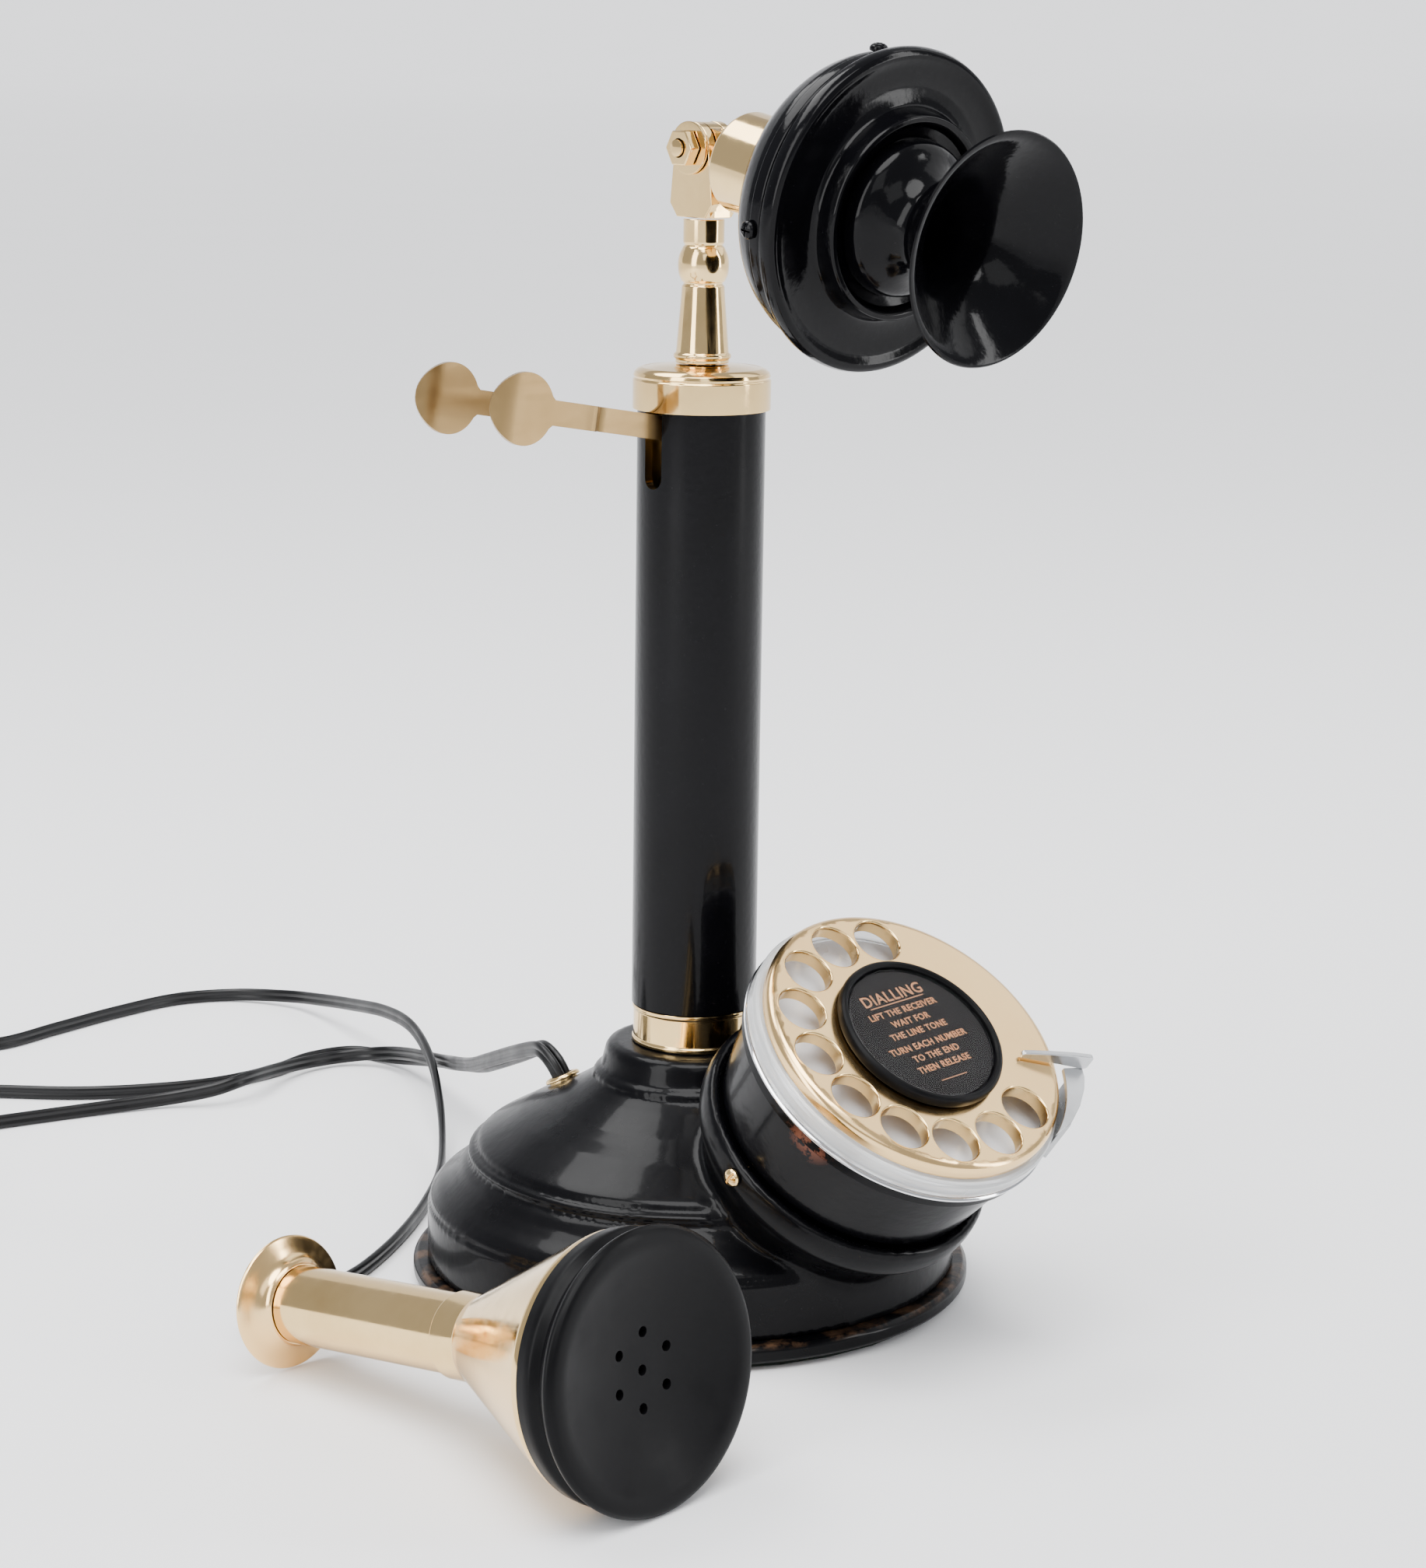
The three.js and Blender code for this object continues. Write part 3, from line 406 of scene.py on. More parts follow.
def makeLacquer(name, peel, roughLow, roughHigh, worn=False, patch=None):
    mix = Mix(name, Metallic=0.0)
    mix.shader.inputs["Specular IOR Level"].default_value = 0.06
    mix.shader.inputs["Coat Weight"].default_value = 0.13
    mix.shader.inputs["Coat Roughness"].default_value = 0.08
    cloud = mix.noise(38, 4, 0.6)
    fine = mix.noise(900, 2, 0.5)
    dust = mix.ramp(mix.noise(1500, 2, 0.7), [(0.0, (0, 0, 0)), (0.70, (0, 0, 0)), (0.78, (1, 1, 1))])
    black = mix.ramp(cloud, [(0.3, (0.0010, 0.0010, 0.0014)), (0.7, (0.0024, 0.0024, 0.0032))])
    colour = mix.blend(mix.calc("MULTIPLY", dust, 0.25), black, (0.06, 0.06, 0.065, 1))
    if worn:
        spot = mix.node("ShaderNodeSeparateXYZ")
        mix.link(mix.coordinates, spot.inputs[0])
        level = mix.span(spot.outputs["Z"], 0.0, 1.0, 0.0050, 0.0060)
        chips = mix.span(mix.noise(120, 5, 0.7), 0.0, 1.0, 0.47, 0.62)
        colour = mix.blend(mix.calc("MULTIPLY", level, chips), colour, (0.065, 0.036, 0.020, 1))
    if patch:
        distance = mix.node("ShaderNodeVectorMath", operation="DISTANCE")
        mix.link(mix.coordinates, distance.inputs[0])
        distance.inputs[1].default_value = patch
        near = mix.span(distance.outputs["Value"], 1.0, 0.0, 0.0030, 0.0072)
        flake = mix.span(mix.noise(230, 4, 0.65), 0.0, 1.0, 0.46, 0.52)
        colour = mix.blend(mix.calc("MULTIPLY", near, flake), colour, (0.13, 0.045, 0.026, 1))
    mix.colour(colour)
    mix.roughness(mix.span(cloud, roughLow, roughHigh))
    mix.bump((mix.noise(peel, 2, 0.5), 0.16, 0.0004), (fine, 0.05, 0.0001))
    return mix.material


def makeBrass(name, light, dark, roughLow, roughHigh, brush=0.0, scale=(1, 1, 1)):
    mix = Mix(name, Metallic=1.0)
    cloud = mix.noise(45, 4, 0.6)
    smear = mix.noise(220, 4, 0.65, mix.mapped(scale))
    mix.colour(mix.blend(mix.span(cloud, 0.0, 0.55, 0.4, 0.75), (*light, 1), (*dark, 1)))
    mix.roughness(mix.span(smear, roughLow, roughHigh, 0.35, 0.7))
    layers = [(mix.noise(30, 2, 0.5), 0.05, 0.0006)]
    if brush:
        layers.append((smear, brush, 0.00005))
    mix.bump(*layers)
    return mix.material


def makePlain(name, colour, metallic, rough, bumpScale=600, bump=0.06, variation=0.25, shine=0.5):
    mix = Mix(name, Metallic=metallic)
    mix.shader.inputs["Specular IOR Level"].default_value = shine
    cloud = mix.noise(bumpScale * 0.12, 3, 0.55)
    darker = tuple(c * (1 - variation) for c in colour)
    mix.colour(mix.ramp(cloud, [(0.3, darker), (0.7, colour)]))
    mix.roughness(mix.span(cloud, rough * 0.8, rough * 1.25))
    mix.bump((mix.noise(bumpScale, 3, 0.6), bump, 0.0001))
    return mix.material


def makeClear(name, roughLow, roughHigh, clarity=1.0, density=1.49):
    mix = Mix(name, Metallic=0.0)
    mix.shader.inputs["Transmission Weight"].default_value = clarity
    mix.shader.inputs["IOR"].default_value = density
    mix.colour(mix.ramp(mix.noise(60), [(0.3, (0.93, 0.95, 0.96)), (0.7, (0.97, 0.98, 0.98))]))
    mix.roughness(mix.span(mix.noise(300, 2), roughLow, roughHigh))
    return mix.material


blackLacquer = makeLacquer("blackLacquer", 620, 0.18, 0.27)
wornSpot = dialPlace @ (Vector((*polar(38.6, 199), -10.9)) * mm)
dialLacquer = makeLacquer("dialLacquer", 420, 0.15, 0.24, patch=wornSpot)
castLacquer = makeLacquer("castLacquer", 260, 0.22, 0.36)
plateLacquer = makeLacquer("plateLacquer", 300, 0.26, 0.40, worn=True)
glossLacquer = makeLacquer("glossLacquer", 600, 0.10, 0.16)
polishedBrass = makeBrass("polishedBrass", (0.86, 0.61, 0.28), (0.66, 0.42, 0.16), 0.07, 0.16)
drawnBrass = makeBrass("drawnBrass", (0.90, 0.68, 0.36), (0.74, 0.50, 0.22), 0.14, 0.24, 0.15, (1, 1, 0.06))
satinBrass = makeBrass("satinBrass", (0.93, 0.63, 0.29), (0.85, 0.55, 0.23), 0.15, 0.23, 0.06)
hookBrass = makeBrass("hookBrass", (0.36, 0.24, 0.105), (0.23, 0.14, 0.055), 0.28, 0.40, 0.25, (0.12, 1, 1))
steel = makePlain("steel", (0.60, 0.61, 0.62), 1.0, 0.26)
chrome = makePlain("chrome", (0.82, 0.83, 0.85), 1.0, 0.06, 300, 0.02, 0.05)
darkSteel = makePlain("darkSteel", (0.30, 0.30, 0.31), 1.0, 0.35)
paleEnamel = makePlain("paleEnamel", (0.80, 0.81, 0.84), 0.15, 0.30, 500, 0.05, 0.08)
ebonite = makePlain("ebonite", (0.0035, 0.0035, 0.004), 0.0, 0.36, 800, 0.04, 0.3, 0.09)
blackCard = makePlain("blackCard", (0.007, 0.005, 0.005), 0.0, 0.60, 900, 0.20, 0.3, 0.2)
copperInk = makePlain("copperInk", (0.62, 0.27, 0.12), 0.3, 0.45, 900, 0.05, 0.15)
bakelite = makePlain("bakelite", (0.10, 0.045, 0.020), 0.0, 0.42)
copperAlloy = makePlain("copperAlloy", (0.66, 0.34, 0.18), 1.0, 0.28)
boardGreen = makePlain("boardGreen", (0.03, 0.16, 0.08), 0.0, 0.45)
greenFelt = makePlain("greenFelt", (0.012, 0.020, 0.014), 0.0, 0.95, 1400, 0.7, 0.5)
cordBlack = makePlain("cordBlack", (0.003, 0.003, 0.0035), 0.0, 0.36, 700, 0.08, 0.3, 0.3)
clearAcrylic = makeClear("clearAcrylic", 0.01, 0.04)
milkyAcrylic = makeClear("milkyAcrylic", 0.10, 0.14, 0.72)
windowAcrylic = makeClear("windowAcrylic", 0.01, 0.03, 1.0, 1.10)
print("materials made")


# Cords: flat twin lead, two cores side by side, standing on edge.
twinLead = {"tall": 4.0, "thick": 2.0, "waist": 0.62}
lineRoute = [(-14.6, 34, 45), (-15.6, 36.4, 49), (-15.4, 41, 51.3), (-13.4, 47, 50.2), (-8, 62, 44.6),
    (2, 86, 35), (14, 108, 26.5), (26, 132, 19), (36, 155, 13), (43, 175, 8.4), (45, 190, 5), (38, 200, 3),
    (26, 202, 3), (12, 198, 4.4), (-5, 189.5, 6.8), (-16, 191, 5), (-28, 199, 2.6), (-50, 206, 2),
    (-74, 211.5, 2), (-98, 216, 2), (-118, 219, 2.2), (-130, 219.6, 2.4)]
receiverRoute = [(-12, 35, 45), (-12.8, 37.4, 49), (-12.4, 42, 50.9), (-10.2, 48, 49.6), (-4.8, 62, 43.6),
    (5.2, 84.5, 34.4), (17.2, 106.2, 26), (29.3, 130, 18.4), (39.4, 153, 12), (46.6, 173, 6.6), (49, 191, 2.6),
    (44, 205, 2), (30, 208, 2), (14, 204, 2), (-5, 204, 2), (-23, 210, 2), (-42, 221, 2), (-59, 237, 2),
    (-73, 251, 2), (-92, 266, 2), (-108, 285, 2), (-110, 308, 2), (-96, 324, 2), (-76, 322, 2), (-62, 305, 2),
    (-50, 288, 2), (-34, 279.5, 2), (-12, 283, 2), (12, 287, 2), (35, 288, 2), (52, 280, 2.2), (61, 264, 3.6),
    (61.5, 248, 6), (57, 224, 10.5), (49, 195, 16), (40, 170, 18.5), (30, 148, 16), (19, 129, 10), (7, 112, 5),
    (-7, 95, 2.6), (-24, 79, 2), (-40, 66, 2), (-56, 55, 2), (-71, 46.5, 2.2), (-86, 40, 3.6),
    (-100, 36.4, 6.6), (-110, 33.4, 10.4), (-115, 27, 14), (-114.9, 18.5, 15.1)]
coilPlan = {"centre": (-135, 190), "outer": 28.6, "inner": 18.4, "levels": (2.4, 6.7), "inTurns": 5,
    "outTurns": 4.25}
tailRoute = [(-166.6, 187, 3.4), (-168, 178, 2.6), (-167, 166, 2.4), (-163.5, 156, 2.8), (-161, 150.3, 3.4)]


def evenly(points, step):
    # The same line with points one step apart.
    fine = [Vector(p) for p in curved(points, 10)]
    found, carried = [fine[0]], 0.0
    for a, b in zip(fine, fine[1:]):
        length = (b - a).length
        while length and carried + length >= step:
            along = (step - carried) / length
            a = a.lerp(b, along)
            found.append(a.copy())
            length = (b - a).length
            carried = 0.0
        carried += length
    if (fine[-1] - found[-1]).length > step * 0.3:
        found.append(fine[-1])
    return found


def coilLine():
    c = coilPlan
    points = []
    perTurn = 18
    total = int(perTurn * (c["inTurns"] + c["outTurns"]))
    for i in range(1, total):
        turn = i / perTurn
        angle = 90 + 360 * turn
        inward = turn / c["inTurns"]
        if inward < 1:
            radius = c["outer"] + (c["inner"] - c["outer"]) * inward
        else:
            radius = c["inner"] + (c["outer"] - c["inner"]) * (turn - c["inTurns"]) / c["outTurns"]
        climb = min(max((turn - c["inTurns"] + 0.25) / 0.5, 0), 1)
        level = c["levels"][0] + (c["levels"][1] - c["levels"][0]) * climb
        x, y = polar(radius, angle)
        points.append((c["centre"][0] + x, c["centre"][1] + y, level))
    return points


def makeTwinLead(name, points, step=1.6):
    line = evenly(points, step)
    tall, thick, waist = twinLead["tall"] / 2, twinLead["thick"] / 2, twinLead["waist"]
    section = []
    for k in range(-3, 4):
        section.append((thick * math.cos(k * 28 * deg), tall / 2 + thick * math.sin(k * 28 * deg)))
    section = [(waist, 0.0)] + section[2:]
    section = section + [(-a, b) for a, b in reversed(section[1:])] + [(-waist, 0.0)]
    section = section + [(a, -b) for a, b in reversed(section[1:-1])]
    count = len(section)
    verts, faces = [], []
    upright = Vector((0, 0, 1))
    normal = None
    frames = [None] * len(line)
    for i in range(len(line) - 1, -1, -1):
        a, b = line[max(i - 1, 0)], line[min(i + 1, len(line) - 1)]
        along = (b - a).normalized()
        lean = upright - along * upright.dot(along)
        if normal is None:
            normal = lean.normalized()
        normal = (normal - along * normal.dot(along)).normalized()
        if abs(along.z) < 0.8:
            normal = normal.lerp(lean.normalized(), 0.3).normalized()
        frames[i] = (normal.copy(), along.cross(normal))
    for i, spot in enumerate(line):
        high, side = frames[i]
        for a, b in section:
            verts.append((spot + side * a + high * b) * mm)
        if i:
            for k in range(count):
                n = (k + 1) % count
                faces.append((count * (i - 1) + k, count * (i - 1) + n, count * i + n, count * i + k))
    faces.append(tuple(reversed(range(count))))
    faces.append(tuple(count * (len(line) - 1) + k for k in range(count)))
    mesh = bpy.data.meshes.new(name)
    mesh.from_pydata(verts, [], faces)
    piece = bpy.data.objects.new(name, mesh)
    bpy.context.scene.collection.objects.link(piece)
    editAll(piece)
    bpy.ops.mesh.normals_make_consistent(inside=False)
    bpy.ops.object.mode_set(mode="OBJECT")
    shade(piece, 50)
    length = sum((b - a).length for a, b in zip(line, line[1:])) * mm
    return piece, [p * mm for p in line], length


def makeCords():
    cord, line, length = makeTwinLead("lineCord", lineRoute + coilLine() + tailRoute)
    finish(cord, cordBlack, "stand", "cord_rubber", "line_cord", "line_cord_coil", "line_cord_end")
    print("line cord", round(length, 3))
    # Plug: a clear modular body with its locking tongue and gold contacts.
    place = placeAt(tailRoute[-1], (math.cos(0.2), math.sin(0.2), 0), (0, 0, 1))
    plug = brick("linePlug", (-4.8, -16, -2.6), (4.8, -0.3, 3.4), place, 0.4)
    tongue = brick("tongue", (-1.7, -12, 3.3), (1.7, -0.9, 4.5), place, 0.3)
    merged(plug, [tongue])
    finish(plug, clearAcrylic, "stand", "clear_acrylic", "line_plug")
    contacts = []
    for i in range(4):
        x = -2.1 + i * 1.4
        contacts.append(brick("contact", (x - 0.2, -16.1, 1.0), (x + 0.2, -10.5, 3.5), place, 0.05))
    contact = merged(contacts[0], contacts[1:])
    contact.name = "plugContacts"
    finish(contact, polishedBrass, "stand", "copper_alloy")
    # Tie round the coil's bundle.
    spot = Vector((coilPlan["centre"][0], coilPlan["centre"][1], 0)) + Vector((*polar(23.5, 305), 4.65))
    around = placeAt(spot, polar(1, 305) + (0,), (-math.sin(305 * deg), math.cos(305 * deg), 0))
    outer = [(-6.9, -4.5), (6.9, -4.5), (6.9, 4.6), (-6.9, 4.6)]
    tie = outlined("coilTie", outer, -3.2, 3.2, around, 0)
    inner = outlined("inner", [(x * 0.95, y * 0.93) for x, y in outer], -5, 5, around, 0)
    boolean(tie, [inner])
    tidy(tie, 0.25)
    finish(tie, blackCard, "stand", "cord_rubber")

    lead, path, reach = makeTwinLead("receiverCord", receiverRoute)
    print("receiver cord", round(reach, 3))
    lead.data.materials.append(cordBlack)
    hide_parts("receiver_cord")
    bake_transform(lead)


makeCords()
print("cords made")


# Base.
baseShape = {"plate": [(0, 1.8), (68.8, 1.8), (69.6, 2.7), (69.6, 5.0), (68.5, 6.2), (0, 6.2)],
    "dome": [(0, 6.5), (66, 6.5), (66, 19.2), (66.0, 19.8), (65.4, 20.3), (65.3, 22), (63.5, 24), (60.9, 26),
        (58.7, 28), (57.0, 30), (55.5, 31.2), (54.9, 31.9), (55.9, 32.6), (55.7, 33.6), (54.0, 34.2),
        (53.2, 34.5), (53.7, 35.1), (53.0, 36.2), (51.6, 37.1), (49.8, 38.1), (46.4, 40), (42.9, 42),
        (38.6, 44), (34.5, 46), (31.1, 48), (27.8, 50), (25.4, 51.7), (24.6, 52.4), (24.8, 53.4), (23.9, 54.3),
        (22.9, 55), (22.5, 56.4), (22.1, 58), (21.7, 59.6), (20.9, 60.7), (19.2, 61.3), (0, 61.3)],
    "saddleTop": [(0, -36.4), (34.2, -36.4), (34.3, -33.9), (35.8, -33.9)],
    "saddleSide": [(36.7, -34.9), (36.9, -38.0), (36.3, -41.4), (34.0, -45.0), (31.2, -49.0), (29.2, -53.0),
        (28.2, -58.0)], "saddleEnd": [(27.5, -73.9), (0, -73.9)], "voxel": 0.85, "fillet": 5.5, "foot": 6.6,
    "smoothFrom": 8.5, "smoothTo": 60.0}

eyeletRing = [(3.1, -3.6), (3.7, -3.6), (3.7, 0.3), (4.6, 0.3), (4.6, 0.8), (4.2, 1.3), (3.6, 1.5), (3.1, 1.1)]
lockScrew = {"angle": 183, "radius": 36.9, "level": -37.3, "slotHalf": 0.28, "slotDepth": 1.15,
    "line": [(0, -5), (1.4, -5), (1.4, 0.3), (2.2, 0.3), (2.2, 0.8), (1.9, 1.3), (1.3, 1.65), (0.6, 1.8),
        (0, 1.82)]}


def makeBase():
    b = baseShape
    finish(turned("basePlate", b["plate"], steps=160, soft=0.35), plateLacquer, "stand", "black_lacquer",
        "base_plate")
    saddle = turned("saddle", b["saddleTop"] + curved(b["saddleSide"], 4) + b["saddleEnd"], dialPlace, 128, 0)
    editAll(saddle)
    bpy.ops.mesh.bisect(plane_co=(0, 0, b["foot"] * mm), plane_no=(0, 0, 1), clear_inner=True, use_fill=True)
    bpy.ops.object.mode_set(mode="OBJECT")
    shell = turned("baseShell", b["dome"], steps=192, soft=0)
    trees = [BVHTree.FromPolygons([v.co for v in o.data.vertices], [p.vertices[:] for p in o.data.polygons])
        for o in (shell, saddle)]
    merged(shell, [saddle])
    applyModifier(shell, "REMESH", mode="VOXEL", voxel_size=b["voxel"] * mm)
    # Points away from the joint go back onto the turned surfaces; the joint itself is smoothed like a casting.
    group = shell.vertex_groups.new(name="joint")
    reach = b["fillet"] * mm
    for vertex in shell.data.vertices:
        near = [tree.find_nearest(vertex.co) for tree in trees]
        far = max(near[0][3], near[1][3])
        weight = max(0.0, min(1.0, 1.6 - 1.6 * far / reach))
        if not b["smoothFrom"] <= vertex.co.z / mm <= b["smoothTo"]:
            weight = 0.0
        closest = min(near, key=lambda hit: hit[3])[0]
        if weight < 1:
            vertex.co = closest.lerp(vertex.co, weight)
        group.add([vertex.index], weight, "REPLACE")
    applyModifier(shell, "SMOOTH", factor=0.5, iterations=26, vertex_group="joint")
    applyModifier(shell, "SMOOTH", factor=0.3, iterations=1)
    shade(shell, 60)
    finish(shell, castLacquer, "stand", "black_lacquer", "base_shell")
    finish(turned("cordEyelet", eyeletRing, eyeletPlace, 48, 0.12), polishedBrass, "stand", "polished_brass",
        "cord_eyelet")


def makeDialScrew():
    k = lockScrew
    ux, uy = polar(1, k["angle"])
    out = dialPlace.to_3x3() @ Vector((ux, uy, 0))
    spot = dialPlace @ (Vector((ux * k["radius"], uy * k["radius"], k["level"])) * mm)
    place = placeAt(spot / mm, dialPlace.to_3x3() @ Vector((0, 0, 1)), out)
    screw = turned("dialLockScrew", k["line"], place, 40, 0.08)
    boolean(screw, [brick("cutter", (-3, -k["slotHalf"], k["slotDepth"]), (3, k["slotHalf"], 3), place, 0)])
    tidy(screw)
    finish(screw, polishedBrass, "stand", "polished_brass", "dial_lock_screw")


# Column.
columnShape = {"radius": 15.4, "inner": 13.2, "low": 71.3, "high": 223.9, "slotHalf": 2.95, "slotLow": 199.8,
    "slotRound": 2.6, "slotTop": 230, "ring": [(13.2, 61.6), (15.3, 61.6), (15.3, 62.5), (14.95, 62.9),
        (14.95, 69.7), (15.25, 70.1), (15.25, 71), (13.2, 71)], "cap": [(3.5, 224.8), (15.7, 224.8),
        (15.7, 218.2), (16.6, 218.2), (16.6, 225.2), (16.25, 225.55), (16.25, 225.8), (16.5, 226.1),
        (16.2, 227.0), (15.4, 227.7), (14.4, 228.1), (13.9, 228.0), (11.0, 228.5), (6.4, 228.9), (3.5, 228.9)]}


def makeColumn():
    c = columnShape
    ring = turned("collarRing", c["ring"], steps=112, soft=0.18)
    finish(ring, polishedBrass, "stand", "polished_brass", "collar_ring")
    tube = turned("columnTube", [(c["inner"], c["low"]), (c["radius"], c["low"]), (c["radius"], c["high"]),
            (c["inner"], c["high"])], steps=144, soft=0)
    half, bend = c["slotHalf"], c["slotRound"]
    turnAt = c["slotLow"] + bend
    slotLine = [(-half, c["slotTop"]), (-half, turnAt)]
    slotLine += [(half * math.cos(a * deg), turnAt + bend * math.sin(a * deg)) for a in range(190, 360, 14)]
    slotLine += [(half, turnAt), (half, c["slotTop"])]
    cutter = outlined("cutter", slotLine, -18, 0, placeAt((0, 0, 0), (0, 1, 0), (1, 0, 0)), 0)
    boolean(tube, [cutter])
    tidy(tube, 0.12)
    finish(tube, blackLacquer, "stand", "black_lacquer", "column_tube")
    tube.data.materials.append(drawnBrass)
    # Bare metal on the cut edges of the slot and on the bore.
    for face in tube.data.polygons:
        x, y, z = face.center / mm
        if x < -10 and abs(y) < half + 0.15 and z > c["slotLow"] - 0.3 and abs(math.hypot(x, y) - 14.3) < 1.02:
            face.material_index = 1
        if math.hypot(x, y) < c["inner"] + 0.1:
            face.material_index = 1
    cap = turned("columnCap", c["cap"], steps=144, soft=0.16)
    finish(cap, polishedBrass, "stand", "polished_brass", "column_cap")


# Knuckle post and its pivot. The post's heights start at the seat of its foot.
postShape = {"seat": 229.2, "spigot": 219.8, "spigotRadius": 3.2, "foot": [(6.4, 0), (6.4, 0.9), (6.9, 1.2),
        (6.9, 2.0), (6.4, 2.4)], "stem": [(6.3, 2.6), (5.8, 9), (5.3, 15), (5.1, 18.2)],
    "neck": [(4.7, 18.5), (4.7, 18.9)], "ball": [(5.2, 19.3), (5.9, 21), (6.1, 23.3), (5.8, 25.4), (4.9, 27.4)],
    "top": [(4.5, 27.7), (4.9, 28.4), (4.9, 33.9), (0, 33.9)], "ear": [(-7.5, -13), (-5, -16.2), (5, -16.2),
        (7.5, -13), (6.1, 0)], "earRadius": 6.1, "earFrom": 2.1, "earTo": 4.3, "bridgeHalf": 2.6, "bore": 2.3}
pivotShape = {"bolt": [(0, -9.2), (2.0, -9.2), (2.0, 4.6), (4.2, 4.6), (4.2, 7.2), (3.2, 7.4), (0, 7.4)],
    "hexagon": 4.6, "headFrom": 4.6, "headTo": 7.2, "nutFrom": 5.7, "nutTo": 8.4,
    "washer": [(2.3, 4.6), (6.2, 4.6), (6.2, 5.4), (2.3, 5.4)], "dome": [(3.55, 9.9), (3.2, 10.9), (2.3, 11.7),
        (1.1, 12.0)], "dimple": [(0.7, 12.0), (0.5, 11.6), (0, 11.6)]}
acrossPlace = placeAt((0, 0, pivotHeight), (0, 1, 0), (1, 0, 0))


def makePost():
    k = postShape
    line = [(0, k["spigot"]), (k["spigotRadius"], k["spigot"]), (k["spigotRadius"], k["seat"])]
    above = k["foot"] + curved(k["stem"], 2) + k["neck"] + curved(k["ball"], 4) + k["top"]
    line += [(r, k["seat"] + z) for r, z in above]
    post = turned("transmitterPost", line, steps=80, soft=0)
    ear = k["ear"] + [polar(k["earRadius"], a) for a in range(8, 180, 8)] + [(-k["earRadius"], 0)]
    ears = [outlined("ear", ear, low, high, acrossPlace, 0) for low,
        high in ((k["earFrom"], k["earTo"]), (-k["earTo"], -k["earFrom"]))]
    half = k["bridgeHalf"]
    boolean(post, ears + [brick("bridge", (-6.4, -16.2, -half), (6.4, -12.6, half), acrossPlace, 0)], "UNION")
    boolean(post, [rod(k["bore"], -12, 12, acrossPlace)])
    tidy(post, 0.3)
    finish(post, polishedBrass, "stand", "polished_brass", "transmitter_post")


def makePivot():
    k = pivotShape
    hexagon = [polar(k["hexagon"], a) for a in range(0, 360, 60)]
    bolt = turned("pivotBolt", k["bolt"], acrossPlace, 48, 0.1)
    merged(bolt, [outlined("head", hexagon, k["headFrom"], k["headTo"], acrossPlace, 0.3)])
    finish(bolt, polishedBrass, "stand", "polished_brass", "pivot_bolt")
    left = placeAt((0, 0, pivotHeight), (0, 1, 0), (-1, 0, 0))
    washer = turned("pivotWasher", k["washer"], left, 64, 0.15)
    finish(washer, polishedBrass, "stand", "polished_brass", "pivot_washer")
    nut = outlined("acornNut", hexagon, k["nutFrom"], k["nutTo"], left, 0.3)
    dome = [(0, 8.2), (3.6, 8.2), (3.6, 9.7)] + curved(k["dome"], 3) + k["dimple"]
    merged(nut, [turned("dome", dome, left, 48, 0.06)])
    boolean(nut, [rod(postShape["bore"], 4, 9.5, left)])
    tidy(nut)
    finish(nut, polishedBrass, "stand", "polished_brass", "acorn_nut")


# Receiver hook.
hookShape = {"thick": 1.3, "half": 2.9, "lobe": 8.3, "lobeAt": 73.5, "splay": 13.8, "gap": 0.3, "sections": 26,
    "bendFrom": 2.4, "bendOver": 5.8, "bend": 1.9, "bore": 1.7}
springShape = {"low": 196.9, "high": 208.4, "at": -4, "radius": 2.5, "wire": 0.4, "turns": 5,
    "stepsPerTurn": 24}


def makeHookArm(name, node, side):
    h = hookShape
    y = side * (h["thick"] / 2 + h["gap"])
    out = side * h["splay"]
    edge = math.sqrt(h["lobe"] ** 2 - h["half"] ** 2)
    line = [(-2.6, y), (10, y), (25, y), (38.6, y)]
    line += curved([(39.8, y), (41.4, y * 1.3), (50.8, out * 0.86), (53.0, out * 0.94), (60, out * 0.985),
            (h["lobeAt"] - edge - 0.6, out)], 5)
    halves = [h["half"]] * len(line)
    sections = h["sections"]
    for i in range(1, sections + 1):
        sweep = math.pi - math.asin(h["half"] / h["lobe"])
        angle = sweep * (1 - i / sections)
        along = h["lobe"] * math.cos(angle) if i < sections else h["lobe"] - 0.03
        bend = max(0.0, along - h["bendFrom"]) / h["bendOver"]
        line.append((h["lobeAt"] + along, out - h["bend"] * bend * bend))
        halves.append(max(h["lobe"] * math.sin(angle), 0.5))
    # The line becomes an upright ribbon; each section then takes its own height.
    arm = startVertex(name)
    drawLine([(a, b, -1) for a, b in line])
    selectAll()
    bpy.ops.mesh.extrude_region_move(TRANSFORM_OT_translate={"value": (0, 0, 2 * mm)})
    bpy.ops.object.mode_set(mode="OBJECT")
    for vertex in arm.data.vertices:
        spot = vertex.co / mm
        number = min(range(len(line)), key=lambda k: abs(line[k][0] - spot.x) + abs(line[k][1] - spot.y))
        vertex.co.z = math.copysign(halves[number] * mm, spot.z)
    editAll(arm)
    bpy.ops.mesh.normals_make_consistent(inside=False)
    settle(arm, hookPlace)
    applyModifier(arm, "SOLIDIFY", thickness=h["thick"] * mm, offset=0)
    softenEdges(arm, 0.25, 2, 50)
    boolean(arm, [rod(h["bore"], -6, 6, placeAt(hookPivot, (1, 0, 0), (0, 1, 0)), 24)])
    tidy(arm, 0, 26)
    finish(arm, hookBrass, "hook", "satin_brass", node)


